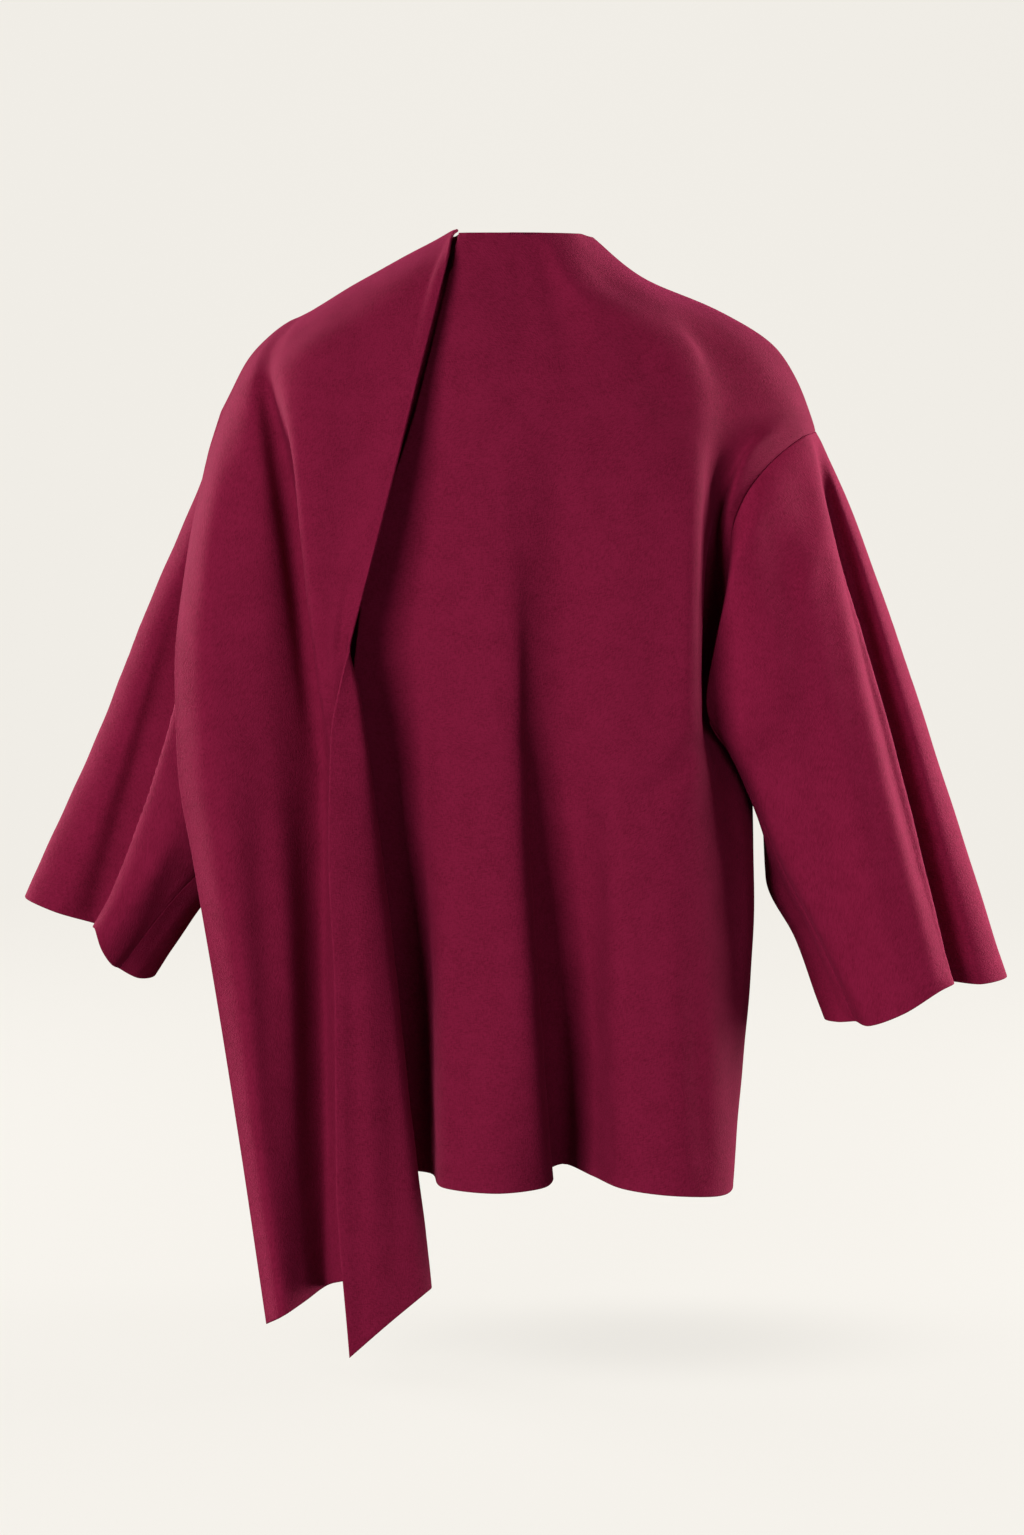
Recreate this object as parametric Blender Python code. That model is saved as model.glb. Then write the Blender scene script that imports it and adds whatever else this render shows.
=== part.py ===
# Cape jacket: a plain felted wool jacket with a high grown-on neck, dropped wide sleeves
# and one long cape panel that hangs from the right shoulder and neck.
# Filled out as if worn, with nothing inside. Front is -Y, up is +Z, the wearer's left is +X.
# The origin is between the shoulders, at the base of the neck, where a wearer carries it.
# All sizes in the tables are millimetres.

import bpy
import numpy as np

MM = 0.001
CLOTH = 2.4  # thickness of the double-faced wool
SEAM_GAP = 0.32  # kept between two sewn edges
LEAST_MITRE = 0.85  # keeps the mitre of a sharply folded seam short
SLEEVE_EASE = (0, 4.0, 3.0)  # how far the sleeve's first rows stand off the body, across the seam
CAPE_LIFT = 0.9  # between the cape's top edge and the shoulder it is caught on

# Colours of the two faces' dye lot, one shade per piece so that the pieces can be told apart
BURGUNDY = (0.19, 0.012, 0.045)
SHADE_STEP = 0.06
WOOL_ROUGHNESS = 0.9

# Rows down the body: share of the way from neck to hem. SHOULDER_ROW is where the dropped
# armhole begins, UNDERARM_ROW where it ends.
BODY_ROWS = (0, 0.035, 0.07, 0.11, 0.15, 0.19, 0.22, 0.25, 0.275, 0.30, 0.33, 0.36, 0.40,
             0.44, 0.48, 0.52, 0.555, 0.58, 0.60, 0.64, 0.70, 0.77, 0.84, 0.92, 1.0)
SHOULDER_ROW = 7
UNDERARM_ROW = 18
LEFT_FRONT_COLUMNS = 22
RIGHT_FRONT_COLUMNS = 10
BACK_COLUMNS = 17

# Rows down a sleeve and down the cape
SLEEVE_ROWS = (0, 0.03, 0.07, 0.12, 0.2, 0.3, 0.42, 0.55, 0.68, 0.8, 0.9, 1.0)
CAPE_ROWS = (0, 0.015, 0.03, 0.045, 0.06, 0.08, 0.10, 0.14, 0.2, 0.26, 0.33, 0.38, 0.42, 0.45, 0.475,
             0.51, 0.56, 0.63, 0.72, 0.82, 0.91, 1.0)
CAPE_COLUMNS = 28
SEAM_START = 2  # armhole points from the underarm up the front to where the sleeve's seam meets it


# Height of each body row at the middle of the front and back: (share down the body, height)
MIDDLE_HEIGHTS = ((0, 41), (0.08, 10), (0.17, -38), (0.25, -95), (0.30, -132), (0.36, -182),
                  (0.42, -232), (0.50, -298), (0.56, -346), (0.60, -382), (0.66, -432),
                  (0.75, -510), (1, -741))

# How far a line's height follows the edge's own height rather than the middle's
EDGE_PULL = {"hollow": 0.5, "side_ridge": 0.2, "front_left": 0.2, "blade": 0.5, "right_blade": 0.5}

# How much lower than the middle a line's end hangs at the hem, and how short that drop is
HEM_DROP = {"hollow": 5, "side_ridge": 4, "lobe": 2}
HEM_DROP_POWER = 8

# The wearer's right side mirrors the left and reaches a little further out
RIGHT_SIDE_REACH = 1.03
RIGHT_SIDE_SHIFT = -9
RIGHT_LIP_REACH = -42  # below its armhole the right side's lip comes no further forward

# The three lines beside an armhole on the wearer's left, as rows of (share down the body,
# seam, crest, lip), each (across, back, height). Above the armhole the seam is the shoulder's,
# just behind the crest, and below it the side seam.
EDGE_LINES = (
    (0, (52, 8, 41), (53, -2, 40), (49, -20, 40)),
    (0.08, (91, 12, 8), (92, -2, 8), (86, -28, 6)),
    (0.17, (159, 14, -22), (162, -2, -23), (148, -34, -27)),
    (0.21, (205, 13, -51), (207, -2, -52), (186, -42, -56)),
    (0.235, (230, 12, -87), (224, -12, -81), (204, -46, -81)),
    (0.25, (243, 10, -121), (232, -18, -105), (214, -46, -99)),
    (0.3, (233, -34, -123), (221, -48, -118), (203, -62, -116)),
    (0.36, (203, -62, -143), (193, -70, -138), (181, -78, -136)),
    (0.42, (174, -78, -179), (169, -81, -176), (165, -82, -174)),
    (0.46, (165, -78, -209), (162, -76, -209), (159, -72, -209)),
    (0.5, (164, -64, -259), (161, -60, -259), (157, -56, -260)),
    (0.56, (156, -58, -344), (154, -55, -343), (152, -52, -342)),
    (0.58, (171, -40, -374), (165, -46, -373), (158, -52, -372)),
    (0.6, (187, 2, -390), (181, -21, -389), (169, -42, -388)),
    (0.66, (192, 4, -430), (188, -22, -428), (177, -48, -424)),
    (0.75, (192, 6, -506), (191, -24, -505), (186, -62, -503)),
    (1.00, (168, 8, -745), (171, -48, -748), (170, -98, -749)),
)

# The back's edge of the armhole: (share down the body, across, back, height)
BACK_ARMHOLE = (
    (0.25, 243, 10, -121),
    (0.3, 239, 46, -124),
    (0.36, 215, 66, -145),
    (0.42, 191, 78, -182),
    (0.46, 182, 80, -215),
    (0.5, 178, 78, -267),
    (0.56, 178, 70, -347),
    (0.58, 185, 48, -377),
    (0.6, 187, 2, -390),
)

# Fold lines down the wearer's left front, from the armhole to the free edge under the cape:
# (height, across, back), with the front at negative depths
LEFT_FRONT_LINES = {
    "hollow": ((39, 44, -34), (6, 73, -48), (-30, 125, -60), (-95, 159, -78), (-128, 162, -80),
        (-160, 159, -74), (-193, 155, -64), (-227, 149, -56), (-293, 142, -50), (-343, 140, -50),
        (-380, 150, -60), (-425, 165, -70), (-490, 174, -80), (-744, 161, -120)),
    "side_ridge": ((40, 37, -46), (5, 61, -62), (-31, 107, -78), (-63, 134, -88), (-127, 137, -104),
        (-223, 137, -118), (-336, 138, -124), (-418, 139, -122), (-582, 145, -126), (-743, 144, -134)),
    "lobe": ((40, 26, -54), (5, 46, -76), (-31, 80, -94), (-95, 89, -112), (-223, 96, -126),
        (-417, 98, -131), (-580, 103, -136), (-743, 109, -139)),
    "lobe_left": ((40, 15, -58), (4, 30, -82), (-31, 56, -98), (-95, 60, -114), (-223, 62, -127),
        (-335, 62, -131), (-427, 63, -130), (-582, 71, -126), (-740, 77, -126)),
    "wall": ((40, 6, -60), (-95, 39, -116), (-223, 43, -126), (-336, 44, -127), (-428, 45, -119),
        (-503, 47, -104), (-589, 51, -92), (-739, 53, -82)),
    "valley": ((40, -5, -61), (-95, 18, -117), (-223, 22, -124), (-336, 25, -121), (-430, 26, -106),
        (-506, 26, -88), (-593, 28, -70), (-738, 30, -42)),
    "ridge_under": ((40, -14, -62), (-95, -1, -118), (-223, 3, -127), (-336, 2, -126), (-429, 0, -110),
        (-505, 3, -92), (-592, 8, -78), (-736, 18, -62)),
    "ridge": ((41, -18, -62), (-95, -13, -120), (-175, -10, -126), (-255, -9, -132), (-324, -6, -136),
        (-390, -3, -136), (-463, 1, -130), (-576, 8, -122), (-656, 14, -112), (-740, 21, -98)),
    "ridge_left": ((41, -23, -62), (-95, -21, -121), (-175, -18, -127), (-254, -17, -133),
        (-324, -14, -138), (-389, -12, -141), (-462, -8, -141), (-572, -1, -140), (-651, 5, -136),
        (-739, 12, -124)),
    "left_lobe": ((41, -33, -62), (-95, -39, -120), (-223, -41, -127), (-335, -41, -133),
        (-497, -35, -139), (-742, -26, -142)),
    "left_turn": ((41, -45, -61), (-95, -59, -116), (-223, -65, -121), (-336, -72, -122),
        (-500, -72, -124), (-741, -71, -122)),
    "recess": ((41, -51, -60), (-95, -71, -112), (-175, -83, -114), (-256, -96, -114), (-338, -105, -108),
        (-421, -104, -96), (-505, -94, -82), (-589, -87, -74), (-733, -84, -72)),
    "lap_edge": ((41, -57.5, -57), (-95, -90, -108), (-256, -136, -113), (-423, -150, -93),
        (-594, -138, -64), (-759, -128, -60)),
}

# The same down the wearer's right front, which lies behind the left front and the cape
RIGHT_FRONT_LINES = {
    "hollow": ((37, -58, -28), (6, -81, -42), (-30, -133, -54), (-95, -166, -74), (-160, -166, -72),
        (-226, -161, -64), (-293, -160, -62), (-343, -160, -60), (-380, -167, -56), (-426, -180, -50),
        (-492, -190, -42), (-754, -180, -46)),
    "front_left": ((38, -55, -38), (5, -74, -58), (-31, -109, -76), (-95, -143, -88), (-257, -156, -82),
        (-343, -158, -78), (-400, -166, -72), (-423, -172, -66), (-592, -180, -54), (-753, -172, -54)),
    "front_mid": ((38, -48, -46), (5, -62, -72), (-95, -115, -97), (-257, -138, -98), (-423, -150, -74),
        (-592, -156, -52), (-756, -150, -50)),
    "inner": ((39, -36, -54), (-95, -80, -102), (-257, -117, -97), (-424, -124, -74), (-596, -112, -48),
        (-761, -107, -44)),
    "own_edge": ((39, -23, -54), (-95, -43, -107), (-256, -72, -103), (-423, -81, -78), (-596, -74, -50),
        (-761, -70, -44)),
}

# Fold lines down the back, from the wearer's left to right: (height, across, back)
BACK_LINES = {
    "side_back": ((40, 49, 24), (6, 84, 34), (-30, 150, 40), (-100, 210, 52), (-150, 190, 74),
        (-250, 168, 84), (-345, 170, 82), (-390, 180, 52), (-510, 186, 58), (-741, 160, 76)),
    "blade": ((40, 40, 42), (6, 68, 58), (-30, 118, 72), (-100, 160, 88), (-200, 152, 102),
        (-345, 152, 106), (-510, 152, 104), (-741, 132, 124)),
    "left_fold": ((40, 28, 53), (6, 48, 72), (-60, 86, 94), (-200, 98, 112), (-400, 102, 110),
        (-741, 92, 84)),
    "left_swell": ((40, 14, 60), (6, 24, 80), (-60, 42, 102), (-200, 52, 116), (-400, 50, 122),
        (-741, 46, 134)),
    "right_swell": ((40, -4, 62), (6, -6, 83), (-60, -10, 104), (-200, -12, 116), (-400, -16, 123),
        (-741, -20, 132)),
    "right_fold": ((40, -20, 60), (6, -34, 78), (-60, -58, 98), (-200, -66, 110), (-400, -74, 108),
        (-741, -72, 86)),
    "right_ridge": ((40, -36, 54), (6, -60, 68), (-60, -104, 88), (-200, -122, 108), (-400, -124, 114),
        (-741, -124, 128)),
    "right_blade": ((40, -47, 44), (6, -78, 56), (-30, -126, 70), (-100, -172, 84), (-200, -166, 98),
        (-345, -164, 102), (-510, -166, 98), (-741, -158, 112)),
    "side_right": ((40, -59, 28), (6, -94, 36), (-30, -160, 42), (-100, -224, 52), (-150, -206, 72),
        (-250, -184, 82), (-345, -186, 80), (-390, -196, 54), (-510, -202, 56), (-741, -180, 74)),
}

SLEEVE_MIDDLE = 5  # how far behind the shoulders the middle of a sleeve lies
FOLD_STATIONS = (0.12, 0.55, 1.0)  # where the fold tables' three pairs lie, from armhole to cuff
SETTLE_ROW = 0.35  # from here down, points are evenly spaced round the sleeve
LOOP_REACH = 0.2  # how far down the sleeve follows the exact shape of its armhole

# Rails in front view: (station, outer, inner front, inner back), each (across, height)
LEFT_RAILS = (
    (0.12, (267, -173), (162, -384), (205, -408)),
    (0.30, (298, -252), (177, -420), (201, -440)),
    (0.55, (343, -381), (207, -499), (205, -500)),
    (0.78, (376, -479), (231, -557), (231, -557)),
    (1.00, (412, -588), (256, -626), (256, -626)),
)
RIGHT_RAILS = (
    (0.12, (-278, -168), (-179, -385), (-220, -408)),
    (0.30, (-316, -254), (-194, -419), (-228, -440)),
    (0.55, (-360, -364), (-236, -474), (-238, -476)),
    (0.78, (-397, -445), (-276, -523), (-276, -523)),
    (1.00, (-431, -519), (-321, -588), (-321, -588)),
)
BACK_RAIL_LINES = ("under", "inner", "back_inner")

# Folds round a sleeve from its underarm seam over the front: (share of the armhole where the line
# starts, then (across from the inner rail as a share, forward) at each fold station). The cuff rise
# is how much higher than the straight cuff a line ends.
LEFT_SLEEVE_LINES = {
    "seam": (0, (0.01, 70), (0.06, 46), (0.137, 34)),
    "inner_front": (0.1, (0.08, 90), (0.14, 68), (0.2, 54)),
    "crest": (0.26, (0.32, 98), (0.4, 86), (0.38, 70)),
    "ridge_left": (0.385, (0.66, 84), (0.66, 76), (0.575, 66)),
    "ridge": (0.425, (0.86, 54), (0.765, 60), (0.662, 54)),
    "ridge_under": (0.44, (0.875, 36), (0.755, 36), (0.64, 32)),
    "valley": (0.455, (0.9, 26), (0.785, 22), (0.68, 16)),
    "outer_front": (0.475, (0.955, 24), (0.9, 26), (0.83, 22)),
    "outer": (0.5, (1, 0), (1, 0), (1, 0)),
    "back_outer": (0.57, (0.92, -44), (0.88, -44), (0.88, -38)),
    "back": (0.7, (0.5, -86), (0.5, -66), (0.52, -54)),
    "back_inner": (0.82, (0.12, -66), (0.14, -52), (0.17, -44)),
    "inner": (0.9, (0, -14), (0, -10), (0, -8)),
    "under": (0.95, (-0.01, 34), (0, 22), (0.05, 18)),
}
# Where the front lobe puffs out over its seam: (station, across, back, height)
LEFT_LIP = {
    "seam": (0.045, 147, -76, -352),
    "inner_front": (0.045, 154, -88, -288),
    "crest": (0.045, 182, -92, -204),
}
LEFT_CUFF_RISE = {"inner_front": -2, "crest": 5, "ridge_left": 16, "ridge": 17, "ridge_under": 14,
                  "valley": 11, "outer_front": 4, "back_outer": 3}
RIGHT_SLEEVE_LINES = {
    "seam": (0, (0.02, 72), (0.1, 42), (0.23, 34)),
    "inner_front": (0.1, (0.02, 80), (0.18, 56), (0.28, 46)),
    "crest": (0.26, (0.28, 82), (0.34, 70), (0.35, 54)),
    "ridge_left": (0.385, (0.6, 72), (0.5, 64), (0.4, 52)),
    "ridge": (0.425, (0.8, 50), (0.6, 52), (0.425, 44)),
    "ridge_under": (0.44, (0.815, 34), (0.59, 32), (0.405, 26)),
    "valley": (0.455, (0.845, 24), (0.625, 20), (0.45, 12)),
    "outer_front": (0.475, (0.94, 22), (0.84, 22), (0.74, 18)),
    "outer": (0.5, (1, 0), (1, 0), (1, 0)),
    "back_outer": (0.57, (0.92, -42), (0.88, -42), (0.88, -36)),
    "back": (0.7, (0.5, -80), (0.5, -62), (0.52, -50)),
    "back_inner": (0.82, (0.12, -62), (0.14, -48), (0.17, -40)),
    "inner": (0.9, (0, -14), (0, -10), (0, -8)),
    "under": (0.95, (-0.01, 30), (0.02, 20), (0.1, 18)),
}
RIGHT_CUFF_RISE = {"seam": -3, "inner_front": 0, "crest": 10, "ridge_left": 23, "ridge": 22,
                   "ridge_under": 20, "valley": 17, "outer_front": 8, "back_outer": 6, "back": 6,
                   "under": -5}
CUFF_RISE_POWER = 5

# Lines down the cape from its outer edge to its cut edge: share of the shoulder where the line
# starts, then (share down the cape, across, back, height)
CAPE_LINES = {
    "outer_edge": (0, (0.03, -257, -2, -106), (0.06, -267, -16, -141), (0.1, -269, -34, -156),
        (0.2, -279, -72, -218), (0.33, -289, -96, -314), (0.45, -287, -102, -392), (0.6, -275, -104, -472),
        (0.75, -258, -106, -578), (0.9, -237, -108, -720), (1, -218, -110, -860)),
    "swell": (0.2, (0.03, -234, 0, -62), (0.06, -237, -26, -77), (0.1, -243, -58, -99),
        (0.2, -254, -110, -191), (0.33, -259, -122, -300), (0.45, -257, -126, -381),
        (0.6, -248, -128, -466), (0.75, -232, -128, -574), (0.9, -219, -128, -707), (1, -203, -128, -848)),
    "slope": (0.3, (0.03, -214, 0, -41), (0.06, -222, -38, -59), (0.1, -225, -74, -82),
        (0.2, -217, -111, -179), (0.33, -215, -115, -288), (0.45, -213, -114, -373),
        (0.6, -208, -112, -467), (0.75, -201, -110, -583), (0.9, -194, -108, -710), (1, -186, -108, -841)),
    "valley": (0.38, (0.03, -199, 0, -31), (0.06, -210, -44, -55), (0.1, -212, -76, -79),
        (0.2, -190, -93, -167), (0.33, -178, -94, -272), (0.45, -171, -90, -358),
        (0.6, -170, -84, -471), (0.75, -171, -82, -589), (0.9, -170, -80, -716), (1, -170, -80, -836)),
    "ridge_under": (0.43, (0.03, -189, 0, -27), (0.06, -203, -48, -50), (0.1, -204, -92, -76),
        (0.2, -181, -119, -162), (0.33, -170, -123, -266), (0.45, -159, -121, -351),
        (0.6, -158, -106, -469), (0.75, -157, -98, -587), (0.9, -157, -94, -714), (1, -157, -92, -829)),
    "ridge": (0.48, (0.03, -179, 0, -22), (0.06, -196, -50, -43), (0.1, -197, -100, -71),
        (0.2, -185, -140, -157), (0.33, -174, -147, -262), (0.45, -164, -146, -343),
        (0.6, -146, -118, -468), (0.75, -142, -110, -585), (0.9, -138, -106, -712), (1, -132, -104, -824)),
    "ridge_front": (0.53, (0.03, -169, 0, -16), (0.06, -183, -54, -36), (0.1, -185, -104, -63),
        (0.2, -176, -146, -149), (0.33, -167, -153, -255), (0.45, -157, -152, -337),
        (0.6, -136, -122, -466), (0.75, -129, -114, -585), (0.9, -123, -109, -712), (1, -114, -107, -826)),
    "plateau": (0.76, (0.03, -120, 0, 13), (0.06, -128, -60, -6), (0.1, -134, -98, -35),
        (0.2, -141, -141, -127), (0.33, -151, -154, -233), (0.42, -156, -157, -289),
        (0.5, -147, -151, -367), (0.6, -127, -127, -460), (0.75, -115, -119, -584),
        (0.9, -104, -114, -710), (1, -93, -112, -828)),
    "turn_in": (0.9, (0.03, -86, -2, 31), (0.06, -93, -64, 12), (0.1, -101, -94, -18),
        (0.2, -116, -138, -107), (0.33, -138, -155, -217), (0.42, -149, -156, -285),
        (0.45, -146, -156, -321), (0.5, -137, -151, -368), (0.6, -123, -132, -457),
        (0.75, -109, -123, -583), (0.9, -97, -118, -710), (1, -84, -116, -827)),
    "turn": (0.935, (0.03, -73, -3, 38), (0.06, -80, -66, 16), (0.1, -89, -93, -13),
        (0.2, -107, -137, -101), (0.33, -131, -156, -211), (0.42, -146, -158, -284),
        (0.45, -138, -159, -317), (0.5, -130, -155, -368), (0.6, -121, -138, -457),
        (0.75, -107, -129, -582), (0.9, -94, -124, -708), (1, -81, -122, -826)),
    "turn_out": (0.955, (0.03, -66, -4, 42), (0.06, -74, -67, 18), (0.1, -84, -93, -12),
        (0.2, -101, -137, -98), (0.33, -127, -156, -208), (0.42, -144, -160, -285),
        (0.45, -139, -164, -315), (0.5, -132, -162, -367), (0.6, -125, -149, -457),
        (0.75, -111, -142, -579), (0.9, -99, -138, -705), (1, -86, -136, -827)),
    "lapel": (0.975, (0.03, -63, -7, 43.5), (0.06, -70, -74, 20), (0.1, -79, -98, -10),
        (0.2, -96, -136, -96), (0.33, -123, -156, -205), (0.42, -143, -162, -286),
        (0.45, -144, -167, -308), (0.5, -146, -167, -366), (0.6, -143, -160, -457),
        (0.75, -134, -156, -576), (0.9, -126, -152, -710), (1, -115, -150, -848)),
    "cut_edge": (1, (0.03, -58, -17, 44.5), (0.045, -62, -45, 41), (0.06, -65, -79, 21),
        (0.1, -73, -101, -15), (0.2, -92, -136, -92), (0.33, -119, -157, -199), (0.42, -142, -163, -287),
        (0.45, -149, -170, -313), (0.5, -158, -170, -360), (0.6, -161, -164, -461),
        (0.75, -157, -160, -576), (0.9, -157, -157, -725), (1, -147, -156, -875)),
}


def glide(knots, keys):
    """Smooth values at the keys through knots whose first column is the key, with no overshoot."""
    knots = np.array(sorted(knots), dtype=float)
    key, value = knots[:, 0], knots[:, 1:]
    step = np.diff(key)[:, None]
    rise = np.diff(value, axis=0) / step
    slope = np.zeros_like(value)
    slope[0] = rise[0]
    slope[-1] = rise[-1]
    product = rise[:-1] * rise[1:]
    total = np.where(product > 0, rise[:-1] + rise[1:], 1.0)
    slope[1:-1] = np.where(product > 0, 2 * product / total, 0.0)
    keys = np.clip(np.atleast_1d(np.asarray(keys, dtype=float)), key[0], key[-1])
    span = np.clip(np.searchsorted(key, keys, side="right") - 1, 0, len(key) - 2)
    t = ((keys - key[span]) / (key[span + 1] - key[span]))[:, None]
    width = step[span]
    start = value[span] * (1 + 2 * t) * (1 - t) ** 2 + slope[span] * width * t * (1 - t) ** 2
    end = value[span + 1] * t * t * (3 - 2 * t) - slope[span + 1] * width * t * t * (1 - t)
    return start + end


def weave(rows, closed=False, per_span=12):
    """A smooth curve through each row of points: (rows, points, 3) in, many more points out."""
    points = np.asarray(rows, dtype=float)
    if closed:
        points = np.concatenate([points[:, -2:], points, points[:, :3]], axis=1)
    else:
        first = 2 * points[:, :1] - points[:, 1:2]
        last = 2 * points[:, -1:] - points[:, -2:-1]
        points = np.concatenate([first, points, last], axis=1)
    gaps = np.sqrt(np.maximum(np.linalg.norm(np.diff(points, axis=1), axis=2), 1e-6))[..., None]
    slopes = np.diff(points, axis=1) / gaps
    wide = gaps[:, :-1] + gaps[:, 1:]
    tangent = slopes[:, :-1] + slopes[:, 1:] - (points[:, 2:] - points[:, :-2]) / wide
    begin, end = points[:, 1:-2], points[:, 2:-1]
    width = gaps[:, 1:-1]
    t = np.linspace(0, 1, per_span, endpoint=False)[None, None, :, None]
    begin, end, width = begin[:, :, None], end[:, :, None], width[:, :, None]
    leave, arrive = tangent[:, :-1, None], tangent[:, 1:, None]
    curve = (begin * (1 + 2 * t) * (1 - t) ** 2 + leave * width * t * (1 - t) ** 2
             + end * t * t * (3 - 2 * t) - arrive * width * t * t * (1 - t))
    curve = curve.reshape(len(points), -1, 3)
    if closed:
        turn = per_span
        return np.concatenate([curve[:, turn:-turn], curve[:, turn:turn + 1]], axis=1)
    return np.concatenate([curve, points[:, -2:-1]], axis=1)


def share_out(curves, shares):
    """Points at the given shares of each curve's length. shares is one list, or one per curve."""
    shares = np.broadcast_to(shares, (len(curves), np.shape(shares)[-1]))
    out = np.empty((len(curves), shares.shape[1], 3))
    for index, curve in enumerate(curves):
        length = np.concatenate([[0], np.cumsum(np.linalg.norm(np.diff(curve, axis=0), axis=1))])
        for axis in range(3):
            out[index, :, axis] = np.interp(shares[index] * length[-1], length, curve[:, axis])
    return out


def even(count):
    return np.linspace(0, 1, count + 1)


def edge_points(rows, column):
    """One of the lines beside the armhole, on the wearer's left: column 0 is the seam."""
    return glide([(row[0], *row[1 + column]) for row in EDGE_LINES], rows)


def mirrored(points):
    """The wearer's right side: the same shape, carried a little further out."""
    points = np.array(points)
    points[..., 0] = RIGHT_SIDE_SHIFT - points[..., 0] * RIGHT_SIDE_REACH
    return points


def panel_rows(lines, rows, edges, pull):
    """Rows of points across a front, from its seam to its free edge."""
    middle = glide(MIDDLE_HEIGHTS, rows)[:, 0]
    columns = list(edges)
    for name, knots in lines.items():
        height = middle + pull.get(name, 0) * (edges[0][:, 2] - middle)
        height -= HEM_DROP.get(name, 0) * np.asarray(rows, dtype=float) ** HEM_DROP_POWER
        flat = glide(knots, height)
        columns.append(np.column_stack([flat, height]))
    return np.stack(columns, axis=1)


def left_front_grid(rows, columns):
    edges = [edge_points(rows, column) for column in range(3)]
    net = panel_rows(LEFT_FRONT_LINES, rows, edges, EDGE_PULL)
    return share_out(weave(net), even(columns))


def right_front_grid(rows, columns):
    edges = [mirrored(edge_points(rows, column)) for column in range(3)]
    below = np.asarray(rows) > BODY_ROWS[UNDERARM_ROW]
    edges[2][below, 1] = np.maximum(edges[2][below, 1], RIGHT_LIP_REACH)
    net = panel_rows(RIGHT_FRONT_LINES, rows, edges, EDGE_PULL)
    return share_out(weave(net), even(columns))


def back_seam(rows):
    """The back's own armhole edge, and the shared side and shoulder seams elsewhere."""
    seam = edge_points(rows, 0)
    armhole = glide(BACK_ARMHOLE, rows)
    inside = (np.asarray(rows) >= BACK_ARMHOLE[0][0]) & (np.asarray(rows) <= BACK_ARMHOLE[-1][0])
    return np.where(inside[:, None], armhole, seam)


def back_grid(rows, columns):
    middle = glide(MIDDLE_HEIGHTS, rows)[:, 0]
    left = back_seam(rows)
    net = [left]
    for name, knots in BACK_LINES.items():
        height = middle + EDGE_PULL.get(name, 0) * (left[:, 2] - middle)
        net.append(np.column_stack([glide(knots, height), height]))
    net.append(mirrored(left))
    return share_out(weave(np.stack(net, axis=1)), even(columns))


def armhole_loop(front, back):
    """The sewn points of an armhole: from the underarm up the front, over and down the back."""
    up = front[SHOULDER_ROW:UNDERARM_ROW + 1][::-1]
    down = back[SHOULDER_ROW + 1:UNDERARM_ROW]
    loop = np.concatenate([up, down])
    return np.roll(loop, -SEAM_START, axis=0)


def loop_shares(loop):
    closed = np.concatenate([loop, loop[:1]])
    length = np.concatenate([[0], np.cumsum(np.linalg.norm(np.diff(closed, axis=0), axis=1))])
    return length / length[-1], closed


def sleeve_grid(loop, rails, lines, lip, rise, rows):
    """Rows round a sleeve, from its armhole to its cuff, each starting at the underarm seam."""
    shares, closed_loop = loop_shares(loop)
    shoulder = shares[(UNDERARM_ROW - SHOULDER_ROW - SEAM_START) % len(loop)]
    stations = [rail[0] for rail in rails]
    columns = []
    for name, (share, *knots) in lines.items():
        place = np.interp(share, (0, 0.5, 1), (0, shoulder, 1))
        start = share_out([closed_loop], [place])[0, 0]
        across, forward = glide([(at, *knot) for at, knot in zip(FOLD_STATIONS, knots)], stations).T
        rail_outer = np.array([rail[1] for rail in rails])
        rail_inner = np.array([rail[3 if name in BACK_RAIL_LINES else 2] for rail in rails])
        flat = rail_inner + across[:, None] * (rail_outer - rail_inner)
        path = np.column_stack([stations, flat[:, 0], SLEEVE_MIDDLE - forward, flat[:, 1]])
        puff = [lip[name]] if name in lip else []
        column = glide([(0, *start), *puff, *map(tuple, path)], rows)
        column[:, 2] += rise.get(name, 0) * np.asarray(rows, dtype=float) ** CUFF_RISE_POWER
        columns.append(column)
    net = np.stack(columns, axis=1)
    ease = np.clip(np.asarray(rows) / SETTLE_ROW, 0, 1)[:, None]
    evenly = np.linspace(0, 1, len(shares))[None, :]
    grid = share_out(weave(net, closed=True), shares * (1 - ease) + evenly * ease)
    fade = np.clip(1 - np.asarray(rows) / LOOP_REACH, 0, 1) ** 2
    return grid + fade[:, None, None] * (closed_loop - grid[0])[None]


def cape_grid(shoulder, shoulder_out, rows, columns):
    """Rows across the cape, from its outer edge to the cut edge that crosses the front."""
    lifted = shoulder + shoulder_out * (CAPE_LIFT + CLOTH / 2)
    lines = []
    for share, *knots in CAPE_LINES.values():
        top = share_out([lifted], [share])[0, 0]
        lines.append(glide([(0, *top), *knots], rows))
    grid = share_out(weave(np.stack(lines, axis=1)), even(columns))
    grid[0] = share_out([lifted], even(columns))[0]
    return grid


def unit(vectors):
    return vectors / np.maximum(np.linalg.norm(vectors, axis=-1, keepdims=True), 1e-9)


def grid_triangles(grid):
    """Two triangles for each cell, split along its shorter diagonal."""
    columns = grid.shape[1]
    rising = np.linalg.norm(grid[1:, :-1] - grid[:-1, 1:], axis=2)
    falling = np.linalg.norm(grid[:-1, :-1] - grid[1:, 1:], axis=2)
    triangles = []
    for row, column in np.ndindex(*rising.shape):
        a = row * columns + column
        b, c, d = a + 1, a + columns + 1, a + columns
        if falling[row, column] <= rising[row, column]:
            triangles += [(a, b, c), (a, c, d)]
        else:
            triangles += [(a, b, d), (b, c, d)]
    return triangles


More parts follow.
